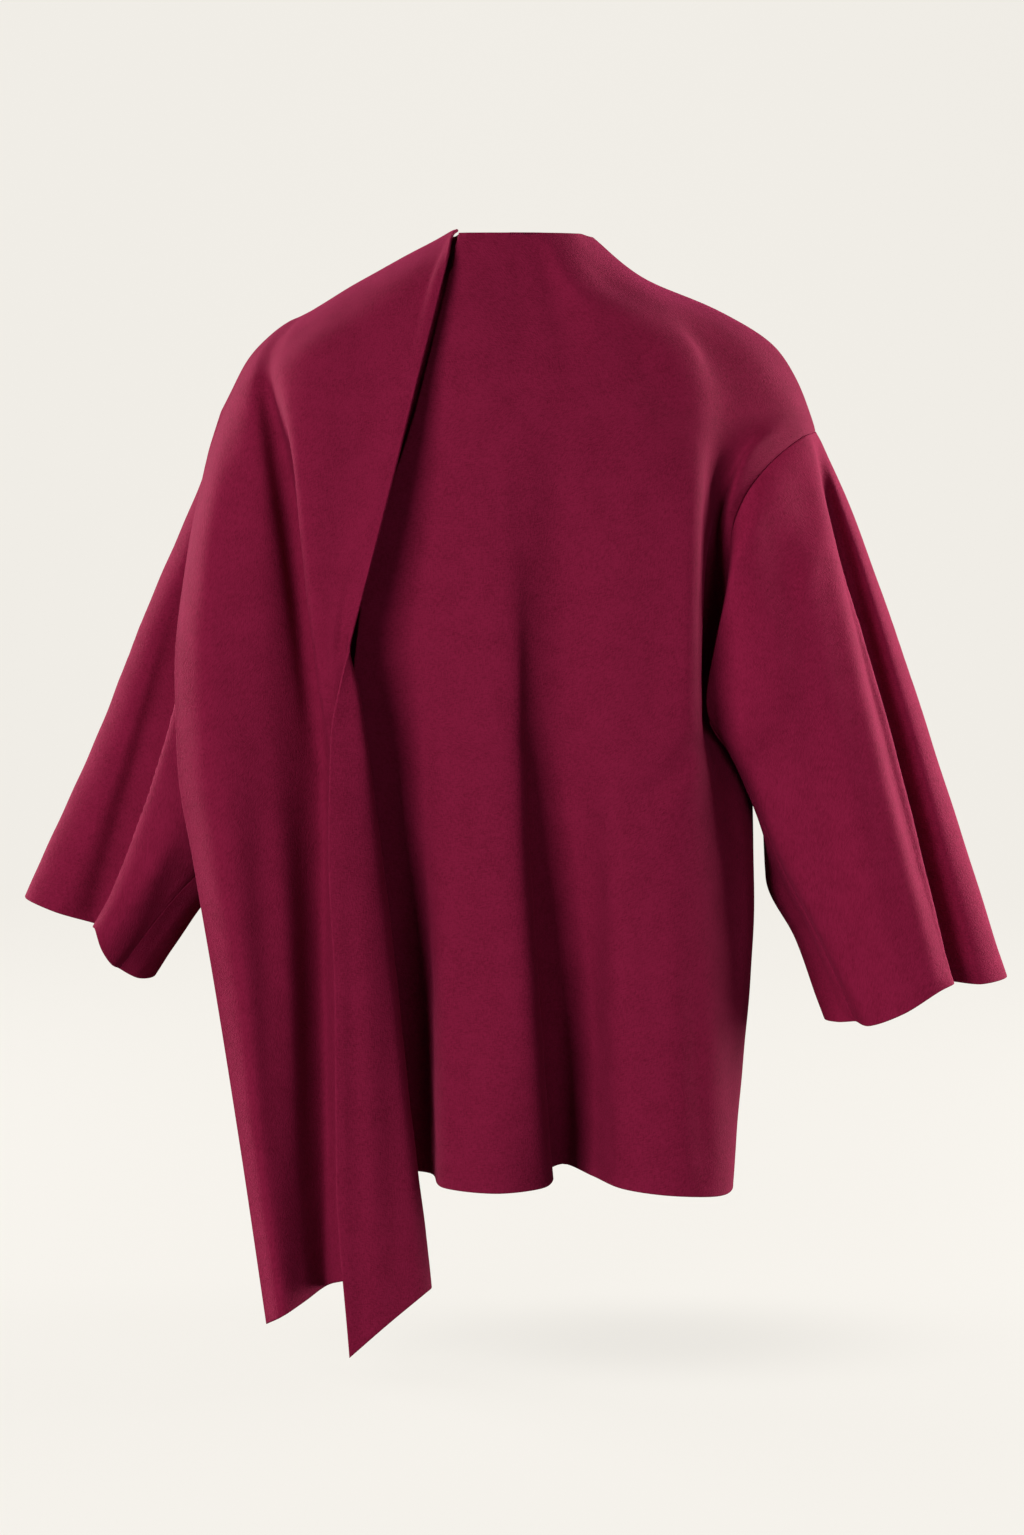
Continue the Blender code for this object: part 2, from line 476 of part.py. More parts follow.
def grid_normals(grid, wrapped=False):
    """The way out at each point: the mean of the triangles that meet there."""
    points = grid.reshape(-1, 3)
    corners = np.array(grid_triangles(grid))
    first, second, third = points[corners.T]
    way = unit(np.cross(second - first, third - first))
    total = np.zeros_like(points)
    for column in range(3):
        np.add.at(total, corners[:, column], way)
    total = total.reshape(grid.shape)
    if wrapped:
        total[:, 0] += total[:, -1]
        total[:, -1] = total[:, 0]
    return unit(total)


class Wall:
    """One piece of cloth: its outer face as a grid, the way out at each point, and its sewn edges."""

    def __init__(self, name, grid, side, wrapped=False):
        self.name = name
        self.side = side
        self.grid = grid
        self.normal = grid_normals(grid, wrapped) * side
        self.depth = np.full((*grid.shape[:2], 1), CLOTH)
        self.pull = np.zeros_like(grid)

    def faces(self):
        """The outer and inner faces of the cloth, as two grids."""
        outer = self.grid + self.pull
        return outer, outer - self.normal * self.depth

    def set_edge(self, rows, columns, out, depth):
        self.normal[rows, columns] = out
        self.depth[rows, columns] = depth


def square_to(line, vectors):
    """Unit vectors with the part along the line taken away."""
    return unit(vectors - line * np.sum(vectors * line, axis=-1, keepdims=True))


def seam_frame(line, here, there, normal):
    """Across a seam, the way out of each of its cloths, and how deep the mitre goes.

    Where the seam lies in a hollow, each cloth keeps its own way out, square to itself.
    """
    across = square_to(line, here - there)
    own = np.cross(line, here)
    turn = np.where(np.sum(own * normal, axis=-1, keepdims=True) < 0, -1, 1)
    out = unit(np.cross(line, across)) * turn
    lean = np.abs(np.sum(own * out, axis=-1, keepdims=True))
    hollow = np.sum((here + there) * out, axis=-1, keepdims=True) > 0
    out_here = np.where(hollow, own * turn, out)
    out_there = np.where(hollow, -np.cross(line, there) * turn, out)
    depth = np.where(hollow, CLOTH, CLOTH / np.maximum(lean, LEAST_MITRE))
    return across * SEAM_GAP / 2, out_here, out_there, depth


def rim_indices(rows, columns):
    top = [column for column in range(columns)]
    right = [row * columns + columns - 1 for row in range(1, rows)]
    bottom = [(rows - 1) * columns + column for column in range(columns - 2, -1, -1)]
    left = [row * columns for row in range(rows - 2, 0, -1)]
    return top + right + bottom + left


def rim_triangles(here, after, count, falling):
    """The cut edge between two points, split from its higher outer corner so that seams match."""
    if falling:
        return (here, here + count, after + count), (here, after + count, after)
    return (here, here + count, after), (here + count, after + count, after)


def wall_mesh(wall):
    outer, inner = wall.faces()
    rows, columns = outer.shape[:2]
    points = np.concatenate([outer.reshape(-1, 3), inner.reshape(-1, 3)]) * MM
    count = rows * columns
    front = grid_triangles(outer)
    faces = front + [(c + count, b + count, a + count) for a, b, c in front]
    rim = rim_indices(rows, columns)
    for here, after in zip(rim, rim[1:] + rim[:1]):
        faces += rim_triangles(here, after, count, points[here][2] > points[after][2])
    if wall.side < 0:
        faces = [face[::-1] for face in faces]
    mesh = bpy.data.meshes.new(wall.name)
    mesh.from_pydata(points.tolist(), [], faces)
    mesh.validate()
    mesh.shade_smooth()
    mesh.set_sharp_from_angle(angle=np.radians(50))
    return mesh


def wool(name, order):
    material = bpy.data.materials.new("wool_" + name)
    material.use_nodes = True
    shader = material.node_tree.nodes["Principled BSDF"]
    tint = [channel * (1 + SHADE_STEP * order) for channel in BURGUNDY]
    shader.inputs["Base Color"].default_value = (*tint, 1)
    shader.inputs["Roughness"].default_value = WOOL_ROUGHNESS
    shader.inputs["Metallic"].default_value = 0
    return material


def add_piece(wall, parent, order):
    piece = bpy.data.objects.new(wall.name, wall_mesh(wall))
    piece.data.materials.append(wool(wall.name, order))
    piece.parent = parent
    bpy.context.scene.collection.objects.link(piece)
    return piece


def sew_body(front, back, back_column, inner_column):
    """Shoulder and side seams: a front's first column meets one of the back's outer columns."""
    shoulders = np.arange(0, SHOULDER_ROW + 1)
    sides = np.arange(UNDERARM_ROW, len(BODY_ROWS))
    for rows in (shoulders, sides):
        edge = front.grid[rows, 0]
        line = unit(np.gradient(edge, axis=0))
        here = square_to(line, front.grid[rows, 1] - edge)
        there = square_to(line, back.grid[rows, inner_column] - edge)
        across, out, back_out, depth = seam_frame(line, here, there, front.normal[rows, 0])
        free = ~np.isin(rows, (SHOULDER_ROW, UNDERARM_ROW))
        front.set_edge(rows[free], 0, out[free], depth[free])
        back.set_edge(rows[free], back_column, back_out[free], depth[free])
        front.pull[rows, 0] += across
        back.pull[rows, back_column] -= across


def sew_armhole(sleeve, front, back, back_column, inner_column):
    """The sleeve's first row meets the front's armhole, the shoulder point and the back's armhole."""
    loop = armhole_loop(front.grid[:, 0], back.grid[:, back_column])
    beside = front.grid[:, 1].copy()
    beside[SHOULDER_ROW] = front.grid[SHOULDER_ROW - 1, 0]
    beside[UNDERARM_ROW] = front.grid[UNDERARM_ROW + 1, 0]
    body = armhole_loop(beside, back.grid[:, inner_column])
    normal = armhole_loop(front.normal[:, 0], back.normal[:, back_column])
    line = unit(np.roll(loop, -1, axis=0) - np.roll(loop, 1, axis=0))
    here = square_to(line, body - loop)
    there = square_to(line, sleeve.grid[1, :-1] - sleeve.grid[0, :-1])
    across, out, sleeve_out, depth = seam_frame(line, here, there, normal)
    around = np.arange(len(loop) + 1) % len(loop)
    for row, ease in enumerate(SLEEVE_EASE):
        sleeve.grid[row] -= unit(across[around]) * ease
    sleeve.normal = grid_normals(sleeve.grid, True) * sleeve.side
    everywhere = np.arange(len(loop) + 1)
    sleeve.set_edge(0, everywhere, sleeve_out[around], depth[around])
    sleeve.pull[0, everywhere] -= across[around]
    up = np.arange(UNDERARM_ROW, SHOULDER_ROW - 1, -1)
    down = np.arange(SHOULDER_ROW, UNDERARM_ROW + 1)
    place = (np.arange(len(loop) + 1) - SEAM_START) % len(loop)
    on_front, on_back = place[:len(up)], place[len(up) - 1:]
    front.set_edge(up, 0, out[on_front], depth[on_front])
    front.pull[up, 0] += across[on_front]
    back.set_edge(down, back_column, out[on_back], depth[on_back])
    back.pull[down, back_column] += across[on_back]


def sew_tube(sleeve):
    """The sleeve's own underarm seam."""
    edge = sleeve.grid[:, 0]
    line = unit(np.gradient(edge, axis=0))
    here = square_to(line, sleeve.grid[:, 1] - edge)
    there = square_to(line, sleeve.grid[:, -2] - edge)
    across, first_out, last_out, depth = seam_frame(line, here, there, sleeve.normal[:, 0])
    below = np.arange(1, len(edge))
    sleeve.set_edge(below, 0, first_out[below], depth[below])
    sleeve.set_edge(below, -1, last_out[below], depth[below])
    sleeve.pull[:, 0] += across
    sleeve.pull[:, -1] -= across


def clear_scene():
    for old in list(bpy.data.objects):
        bpy.data.objects.remove(old, do_unlink=True)


def build():
    clear_scene()
    left = Wall("left_front", left_front_grid(BODY_ROWS, LEFT_FRONT_COLUMNS), 1)
    right = Wall("right_front", right_front_grid(BODY_ROWS, RIGHT_FRONT_COLUMNS), -1)
    back = Wall("back", back_grid(BODY_ROWS, BACK_COLUMNS), -1)
    left_loop = armhole_loop(left.grid[:, 0], back.grid[:, 0])
    right_loop = armhole_loop(right.grid[:, 0], back.grid[:, -1])
    left_sleeve = Wall("left_sleeve",
                       sleeve_grid(left_loop, LEFT_RAILS, LEFT_SLEEVE_LINES, LEFT_LIP,
                                   LEFT_CUFF_RISE, SLEEVE_ROWS), -1, True)
    right_sleeve = Wall("right_sleeve",
                        sleeve_grid(right_loop, RIGHT_RAILS, RIGHT_SLEEVE_LINES, {},
                                    RIGHT_CUFF_RISE, SLEEVE_ROWS), 1, True)
    last = BACK_COLUMNS
    for sleeve, front, column, inner in ((left_sleeve, left, 0, 1), (right_sleeve, right, last, last - 1)):
        sew_armhole(sleeve, front, back, column, inner)
        sew_tube(sleeve)
        sew_body(front, back, column, inner)
    shoulder = right.grid[:SHOULDER_ROW + 1, 0][::-1]
    shoulder_out = right.normal[:SHOULDER_ROW + 1, 0][::-1]
    cape = Wall("cape_panel", cape_grid(shoulder, shoulder_out, CAPE_ROWS, CAPE_COLUMNS), -1)
    cape.normal[0] = unit(share_out([shoulder_out], even(CAPE_COLUMNS))[0])
    cape.grid = cape.grid + cape.normal * CLOTH / 2
    jacket = bpy.data.objects.new("cape_jacket", None)
    bpy.context.scene.collection.objects.link(jacket)
    for order, wall in enumerate((back, left, right, left_sleeve, right_sleeve, cape)):
        add_piece(wall, jacket, order)


build()
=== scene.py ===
import math
import bpy
import mathutils
import numpy as np
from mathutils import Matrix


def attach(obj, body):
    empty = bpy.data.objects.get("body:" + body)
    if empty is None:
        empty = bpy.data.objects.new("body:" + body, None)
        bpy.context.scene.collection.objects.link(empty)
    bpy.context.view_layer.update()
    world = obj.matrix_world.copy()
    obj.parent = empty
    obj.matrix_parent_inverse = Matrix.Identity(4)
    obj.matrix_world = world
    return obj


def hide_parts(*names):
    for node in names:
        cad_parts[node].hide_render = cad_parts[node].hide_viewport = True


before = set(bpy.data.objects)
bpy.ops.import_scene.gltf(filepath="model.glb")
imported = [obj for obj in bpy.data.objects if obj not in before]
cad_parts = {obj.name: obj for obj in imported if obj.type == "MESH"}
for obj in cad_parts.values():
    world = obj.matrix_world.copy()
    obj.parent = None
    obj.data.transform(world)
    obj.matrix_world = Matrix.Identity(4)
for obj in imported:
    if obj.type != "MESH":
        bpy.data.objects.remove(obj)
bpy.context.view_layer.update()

# Cape jacket, filled out as if worn. Front is -Y, up is +Z, the wearer's left is +X.
# Every size in the tables below is in millimetres.
mm = 0.001

cloth = {
    "thickness": 2.4,     # double-faced wool
    "seamGap": 0.3,       # between two sewn edges
    "edgeRound": 1.3,     # radius of a cut edge
    "edgeSteps": (0, 0.08, 0.3, 0.62, 1.0),  # where points lie across that rounding
    "seamDip": 0.9,       # how far the cloth is drawn in along a seam
    "seamReach": 5.0,     # and how far from the seam that reaches
    "sway": 0.7,          # soft unevenness of hanging wool
    "swayReach": 25,      # it fades out this near an edge
    "creaseReach": 12,    # and a crease this near
}

capeLift = 0.9            # between the cape's top edge and the shoulder it is caught on
capeSettle = 0.03         # share of the cape over which it leaves the shoulder's exact line
capeFixedRows = (0, capeSettle, 0.06, 0.42, 1.0)

# Shares of the way down the body where its rows are fixed. The armhole runs from shoulderShare
# to underarmShare, and the sleeve's own seam meets it at sleeveSeamShare on the front.
shoulderShare = 0.25
underarmShare = 0.60
sleeveSeamShare = 0.555

# Height of each body row at the middle of the front and back: (share down the body, height)
middleHeights = ((0, 41), (0.08, 10), (0.17, -38), (0.25, -95), (0.30, -132), (0.36, -182),
                  (0.42, -232), (0.50, -298), (0.56, -346), (0.60, -382), (0.66, -432),
                  (0.75, -510), (1, -741))

# How far a line's height follows the edge's own height rather than the middle's
edgePull = {"hollow": 0.5, "sideRidge": 0.2, "frontLeft": 0.2, "blade": 0.5, "rightBlade": 0.5}

# How much lower than the middle a line's end hangs at the hem, and how short that drop is
hemDrop = {"hollow": 5, "sideRidge": 4, "lobe": 2}
hemDropPower = 8

# The wearer's right side mirrors the left and reaches a little further out
rightSideReach = 1.03
rightSideShift = -9
rightLipReach = -42  # below its armhole the right side's lip comes no further forward

# The three lines beside an armhole on the wearer's left, as rows of (share down the body,
# seam, crest, lip), each (across, back, height). Above the armhole the seam is the shoulder's,
# just behind the crest, and below it the side seam.
edgeLines = (
    (0, (52, 8, 41), (53, -2, 40), (49, -20, 40)),
    (0.08, (91, 12, 8), (92, -2, 8), (86, -28, 6)),
    (0.17, (159, 14, -22), (162, -2, -23), (148, -34, -27)),
    (0.21, (205, 13, -51), (207, -2, -52), (186, -42, -56)),
    (0.235, (230, 12, -87), (224, -12, -81), (204, -46, -81)),
    (0.25, (243, 10, -121), (232, -18, -105), (214, -46, -99)),
    (0.3, (233, -34, -123), (221, -48, -118), (203, -62, -116)),
    (0.36, (203, -62, -143), (193, -70, -138), (181, -78, -136)),
    (0.42, (174, -78, -179), (169, -81, -176), (165, -82, -174)),
    (0.46, (165, -78, -209), (162, -76, -209), (159, -72, -209)),
    (0.5, (164, -64, -259), (161, -60, -259), (157, -56, -260)),
    (0.56, (156, -58, -344), (154, -55, -343), (152, -52, -342)),
    (0.58, (171, -40, -374), (165, -46, -373), (158, -52, -372)),
    (0.6, (187, 2, -390), (181, -21, -389), (169, -42, -388)),
    (0.66, (192, 4, -430), (188, -22, -428), (177, -48, -424)),
    (0.75, (192, 6, -506), (191, -24, -505), (186, -62, -503)),
    (1.00, (168, 8, -745), (171, -48, -748), (170, -98, -749)),
)

# The back's edge of the armhole: (share down the body, across, back, height)
backArmhole = (
    (0.25, 243, 10, -121),
    (0.3, 239, 46, -124),
    (0.36, 215, 66, -145),
    (0.42, 191, 78, -182),
    (0.46, 182, 80, -215),
    (0.5, 178, 78, -267),
    (0.56, 178, 70, -347),
    (0.58, 185, 48, -377),
    (0.6, 187, 2, -390),
)

# Fold lines down the wearer's left front, from the armhole to the free edge under the cape:
# (height, across, back), with the front at negative depths
leftFrontLines = {
    "hollow": ((39, 44, -34), (6, 73, -48), (-30, 125, -60), (-95, 159, -78), (-128, 162, -80),
        (-160, 159, -74), (-193, 155, -64), (-227, 149, -56), (-293, 142, -50), (-343, 140, -50),
        (-380, 150, -60), (-425, 165, -70), (-490, 174, -80), (-744, 161, -120)),
    "sideRidge": ((40, 37, -46), (5, 61, -62), (-31, 107, -78), (-63, 134, -88), (-127, 137, -104),
        (-223, 137, -118), (-336, 138, -124), (-418, 139, -122), (-582, 145, -126), (-743, 144, -134)),
    "lobe": ((40, 26, -54), (5, 46, -76), (-31, 80, -94), (-95, 89, -112), (-223, 96, -126),
        (-417, 98, -131), (-580, 103, -136), (-743, 109, -139)),
    "lobeLeft": ((40, 15, -58), (4, 30, -82), (-31, 56, -98), (-95, 60, -114), (-223, 62, -127),
        (-335, 62, -131), (-427, 63, -130), (-582, 71, -126), (-740, 77, -126)),
    "wall": ((40, 6, -60), (-95, 39, -116), (-223, 43, -126), (-336, 44, -127), (-428, 45, -119),
        (-503, 47, -104), (-589, 51, -92), (-739, 53, -82)),
    "valley": ((40, -5, -61), (-95, 18, -117), (-223, 22, -124), (-336, 25, -121), (-430, 26, -106),
        (-506, 26, -88), (-593, 28, -70), (-738, 30, -42)),
    "ridgeUnder": ((40, -14, -62), (-95, -1, -118), (-223, 3, -127), (-336, 2, -126), (-429, 0, -110),
        (-505, 3, -92), (-592, 8, -78), (-736, 18, -62)),
    "ridge": ((41, -18, -62), (-95, -13, -120), (-175, -10, -126), (-255, -9, -132), (-324, -6, -136),
        (-390, -3, -136), (-463, 1, -130), (-576, 8, -122), (-656, 14, -112), (-740, 21, -98)),
    "ridgeLeft": ((41, -23, -62), (-95, -21, -121), (-175, -18, -127), (-254, -17, -133),
        (-324, -14, -138), (-389, -12, -141), (-462, -8, -141), (-572, -1, -140), (-651, 5, -136),
        (-739, 12, -124)),
    "leftLobe": ((41, -33, -62), (-95, -39, -120), (-223, -41, -127), (-335, -41, -133),
        (-497, -35, -139), (-742, -26, -142)),
    "leftTurn": ((41, -45, -61), (-95, -59, -116), (-223, -65, -121), (-336, -72, -122),
        (-500, -72, -124), (-741, -71, -122)),
    "recess": ((41, -51, -60), (-95, -71, -112), (-175, -83, -114), (-256, -96, -114), (-338, -105, -108),
        (-421, -104, -96), (-505, -94, -82), (-589, -87, -74), (-733, -84, -72)),
    "lapEdge": ((41, -57.5, -57), (-95, -90, -108), (-256, -136, -113), (-423, -150, -93),
        (-594, -138, -64), (-759, -128, -60)),
}

# The same down the wearer's right front, which lies behind the left front and the cape
rightFrontLines = {
    "hollow": ((37, -58, -28), (6, -81, -42), (-30, -133, -54), (-95, -166, -74), (-160, -166, -72),
        (-226, -161, -64), (-293, -160, -62), (-343, -160, -60), (-380, -167, -56), (-426, -180, -50),
        (-492, -190, -42), (-754, -180, -46)),
    "frontLeft": ((38, -55, -38), (5, -74, -58), (-31, -109, -76), (-95, -143, -88), (-257, -156, -82),
        (-343, -158, -78), (-400, -166, -72), (-423, -172, -66), (-592, -180, -54), (-753, -172, -54)),
    "frontMid": ((38, -48, -46), (5, -62, -72), (-95, -115, -97), (-257, -138, -98), (-423, -150, -74),
        (-592, -156, -52), (-756, -150, -50)),
    "inner": ((39, -36, -54), (-95, -80, -102), (-257, -117, -97), (-424, -124, -74), (-596, -112, -48),
        (-761, -107, -44)),
    "ownEdge": ((39, -23, -54), (-95, -43, -107), (-256, -72, -103), (-423, -81, -78), (-596, -74, -50),
        (-761, -70, -44)),
}

# Fold lines down the back, from the wearer's left to right: (height, across, back)
backLines = {
    "sideBack": ((40, 49, 24), (6, 84, 34), (-30, 150, 40), (-100, 210, 52), (-150, 190, 74),
        (-250, 168, 84), (-345, 170, 82), (-390, 180, 52), (-510, 186, 58), (-741, 160, 76)),
    "blade": ((40, 40, 42), (6, 68, 58), (-30, 118, 72), (-100, 160, 88), (-200, 152, 102),
        (-345, 152, 106), (-510, 152, 104), (-741, 132, 124)),
    "leftFold": ((40, 28, 53), (6, 48, 72), (-60, 86, 94), (-200, 98, 112), (-400, 102, 110),
        (-741, 92, 84)),
    "leftSwell": ((40, 14, 60), (6, 24, 80), (-60, 42, 102), (-200, 52, 116), (-400, 50, 122),
        (-741, 46, 134)),
    "rightSwell": ((40, -4, 62), (6, -6, 83), (-60, -10, 104), (-200, -12, 116), (-400, -16, 123),
        (-741, -20, 132)),
    "rightFold": ((40, -20, 60), (6, -34, 78), (-60, -58, 98), (-200, -66, 110), (-400, -74, 108),
        (-741, -72, 86)),
    "rightRidge": ((40, -36, 54), (6, -60, 68), (-60, -104, 88), (-200, -122, 108), (-400, -124, 114),
        (-741, -124, 128)),
    "rightBlade": ((40, -47, 44), (6, -78, 56), (-30, -126, 70), (-100, -172, 84), (-200, -166, 98),
        (-345, -164, 102), (-510, -166, 98), (-741, -158, 112)),
    "sideRight": ((40, -59, 28), (6, -94, 36), (-30, -160, 42), (-100, -224, 52), (-150, -206, 72),
        (-250, -184, 82), (-345, -186, 80), (-390, -196, 54), (-510, -202, 56), (-741, -180, 74)),
}

sleeveMiddle = 5  # how far behind the shoulders the middle of a sleeve lies
foldStations = (0.12, 0.55, 1.0)  # where the fold tables' three pairs lie, from armhole to cuff
settleRow = 0.35  # from here down, points are evenly spaced round the sleeve
loopReach = 0.2  # how far down the sleeve follows the exact shape of its armhole

# Rails in front view: (station, outer, inner front, inner back), each (across, height)
leftRails = (
    (0.12, (267, -173), (162, -384), (205, -408)),
    (0.30, (298, -252), (177, -420), (201, -440)),
    (0.55, (343, -381), (207, -499), (205, -500)),
    (0.78, (376, -479), (231, -557), (231, -557)),
    (1.00, (412, -588), (256, -626), (256, -626)),
)
rightRails = (
    (0.12, (-278, -168), (-179, -385), (-220, -408)),
    (0.30, (-316, -254), (-194, -419), (-228, -440)),
    (0.55, (-360, -364), (-236, -474), (-238, -476)),
    (0.78, (-397, -445), (-276, -523), (-276, -523)),
    (1.00, (-431, -519), (-321, -588), (-321, -588)),
)
backRailLines = ("under", "inner", "backInner")

# Folds round a sleeve from its underarm seam over the front: (share of the armhole where the line
# starts, then (across from the inner rail as a share, forward) at each fold station). The cuff rise
# is how much higher than the straight cuff a line ends.
leftSleeveLines = {
    "seam": (0, (0.01, 70), (0.06, 46), (0.137, 34)),
    "innerFront": (0.1, (0.08, 90), (0.14, 68), (0.2, 54)),
    "crest": (0.26, (0.32, 98), (0.4, 86), (0.38, 70)),
    "ridgeLeft": (0.385, (0.66, 84), (0.66, 76), (0.575, 66)),
    "ridge": (0.425, (0.86, 54), (0.765, 60), (0.662, 54)),
    "ridgeUnder": (0.44, (0.855, 36), (0.735, 35), (0.615, 30)),
    "valley": (0.455, (0.89, 22), (0.765, 16), (0.655, 9)),
    "outerFront": (0.475, (0.955, 24), (0.9, 26), (0.83, 22)),
    "outer": (0.5, (1, 0), (1, 0), (1, 0)),
    "backOuter": (0.57, (0.92, -44), (0.88, -44), (0.88, -38)),
    "back": (0.7, (0.5, -86), (0.5, -66), (0.52, -54)),
    "backInner": (0.82, (0.12, -66), (0.14, -52), (0.17, -44)),
    "inner": (0.9, (0, -14), (0, -10), (0, -8)),
    "under": (0.95, (-0.01, 34), (0, 22), (0.05, 18)),
}
# Where the front lobe puffs out over its seam: (station, across, back, height)
leftLip = {
    "seam": (0.045, 147, -76, -352),
    "innerFront": (0.045, 154, -88, -288),
    "crest": (0.045, 182, -92, -204),
}
leftCuffRise = {"innerFront": -2, "crest": 5, "ridgeLeft": 16, "ridge": 17, "ridgeUnder": 14,
                "valley": 11, "outerFront": 4, "backOuter": 3}
rightSleeveLines = {
    "seam": (0, (0.02, 72), (0.1, 42), (0.23, 34)),
    "innerFront": (0.1, (0.02, 80), (0.18, 56), (0.28, 46)),
    "crest": (0.26, (0.28, 82), (0.34, 70), (0.35, 54)),
    "ridgeLeft": (0.385, (0.6, 72), (0.5, 64), (0.4, 52)),
    "ridge": (0.425, (0.8, 50), (0.6, 52), (0.425, 44)),
    "ridgeUnder": (0.44, (0.79, 34), (0.565, 32), (0.38, 24)),
    "valley": (0.455, (0.83, 20), (0.6, 14), (0.425, 6)),
    "outerFront": (0.475, (0.94, 22), (0.84, 22), (0.74, 18)),
    "outer": (0.5, (1, 0), (1, 0), (1, 0)),
    "backOuter": (0.57, (0.92, -42), (0.88, -42), (0.88, -36)),
    "back": (0.7, (0.5, -80), (0.5, -62), (0.52, -50)),
    "backInner": (0.82, (0.12, -62), (0.14, -48), (0.17, -40)),
    "inner": (0.9, (0, -14), (0, -10), (0, -8)),
    "under": (0.95, (-0.01, 30), (0.02, 20), (0.1, 18)),
}
rightCuffRise = {"seam": -3, "innerFront": 0, "crest": 10, "ridgeLeft": 23, "ridge": 22,
                 "ridgeUnder": 20, "valley": 17, "outerFront": 8, "backOuter": 6, "back": 6,
                 "under": -5}
cuffRisePower = 5

# Lines down the cape from its outer edge to its cut edge: share of the shoulder where the line
# starts, then (share down the cape, across, back, height)
capeLines = {
    "outerEdge": (0, (0.03, -257, -2, -106), (0.06, -267, -16, -141), (0.1, -269, -34, -156),
        (0.2, -279, -72, -218), (0.33, -289, -96, -314), (0.45, -287, -102, -392), (0.6, -275, -104, -472),
        (0.75, -258, -106, -578), (0.9, -237, -108, -720), (1, -218, -110, -860)),
    "swell": (0.2, (0.03, -234, 0, -62), (0.06, -237, -26, -77), (0.1, -243, -58, -99),
        (0.2, -254, -110, -191), (0.33, -259, -122, -300), (0.45, -257, -126, -381),
        (0.6, -248, -128, -466), (0.75, -232, -128, -574), (0.9, -219, -128, -707), (1, -203, -128, -848)),
    "slope": (0.3, (0.03, -214, 0, -41), (0.06, -222, -38, -59), (0.1, -225, -74, -82),
        (0.2, -217, -111, -179), (0.33, -215, -115, -288), (0.45, -213, -114, -373),
        (0.6, -208, -112, -467), (0.75, -201, -110, -583), (0.9, -194, -108, -710), (1, -186, -108, -841)),
    "valley": (0.38, (0.03, -199, 0, -31), (0.06, -210, -44, -55), (0.1, -212, -76, -79),
        (0.2, -190, -93, -167), (0.33, -178, -94, -272), (0.45, -171, -90, -358),
        (0.6, -170, -84, -471), (0.75, -171, -82, -589), (0.9, -170, -80, -716), (1, -170, -80, -836)),
    "ridgeUnder": (0.43, (0.03, -189, 0, -27), (0.06, -203, -48, -50), (0.1, -204, -92, -76),
        (0.2, -181, -119, -162), (0.33, -170, -123, -266), (0.45, -159, -121, -351),
        (0.6, -158, -106, -469), (0.75, -157, -98, -587), (0.9, -157, -94, -714), (1, -157, -92, -829)),
    "ridge": (0.48, (0.03, -179, 0, -22), (0.06, -196, -50, -43), (0.1, -197, -100, -71),
        (0.2, -185, -140, -157), (0.33, -174, -147, -262), (0.45, -164, -146, -343),
        (0.6, -146, -118, -468), (0.75, -142, -110, -585), (0.9, -138, -106, -712), (1, -132, -104, -824)),
    "ridgeFront": (0.53, (0.03, -169, 0, -16), (0.06, -183, -54, -36), (0.1, -185, -104, -63),
        (0.2, -176, -146, -149), (0.33, -167, -153, -255), (0.45, -157, -152, -337),
        (0.6, -136, -122, -466), (0.75, -129, -114, -585), (0.9, -123, -109, -712), (1, -114, -107, -826)),
    "plateau": (0.76, (0.03, -120, 0, 13), (0.06, -128, -60, -6), (0.1, -134, -98, -35),
        (0.2, -141, -141, -127), (0.33, -151, -154, -233), (0.42, -156, -157, -289),
        (0.5, -147, -151, -367), (0.6, -127, -127, -460), (0.75, -115, -119, -584),
        (0.9, -104, -114, -710), (1, -93, -112, -828)),
    "turnIn": (0.9, (0.03, -86, -2, 31), (0.06, -93, -64, 12), (0.1, -101, -94, -18),
        (0.2, -116, -138, -107), (0.33, -138, -155, -217), (0.42, -149, -156, -285),
        (0.45, -146, -156, -321), (0.5, -137, -151, -368), (0.6, -123, -132, -457),
        (0.75, -109, -123, -583), (0.9, -97, -118, -710), (1, -84, -116, -827)),
    "turn": (0.935, (0.03, -73, -3, 38), (0.06, -80, -66, 16), (0.1, -89, -93, -13),
        (0.2, -107, -137, -101), (0.33, -131, -156, -211), (0.42, -146, -158, -284),
        (0.45, -138, -159, -317), (0.5, -130, -155, -368), (0.6, -121, -138, -457),
        (0.75, -107, -129, -582), (0.9, -94, -124, -708), (1, -81, -122, -826)),
    "turnOut": (0.955, (0.03, -66, -4, 42), (0.06, -74, -67, 18), (0.1, -84, -93, -12),
        (0.2, -101, -137, -98), (0.33, -127, -156, -208), (0.42, -144, -160, -285),
        (0.45, -139, -164, -315), (0.5, -132, -162, -367), (0.6, -125, -149, -457),
        (0.75, -111, -142, -579), (0.9, -99, -138, -705), (1, -86, -136, -827)),
    "lapel": (0.975, (0.03, -63, -7, 43.5), (0.06, -70, -74, 20), (0.1, -79, -98, -10),
        (0.2, -96, -136, -96), (0.33, -123, -156, -205), (0.42, -143, -162, -286),
        (0.45, -144, -167, -308), (0.5, -146, -167, -366), (0.6, -143, -160, -457),
        (0.75, -134, -156, -576), (0.9, -126, -152, -710), (1, -115, -150, -848)),
    "cutEdge": (1, (0.03, -58, -17, 44.5), (0.045, -62, -45, 41), (0.06, -65, -79, 21),
        (0.1, -73, -101, -15), (0.2, -92, -136, -92), (0.33, -119, -157, -199), (0.42, -142, -163, -287),
        (0.45, -149, -170, -313), (0.5, -158, -170, -360), (0.6, -161, -164, -461),
        (0.75, -157, -160, -576), (0.9, -157, -157, -725), (1, -147, -156, -875)),
}


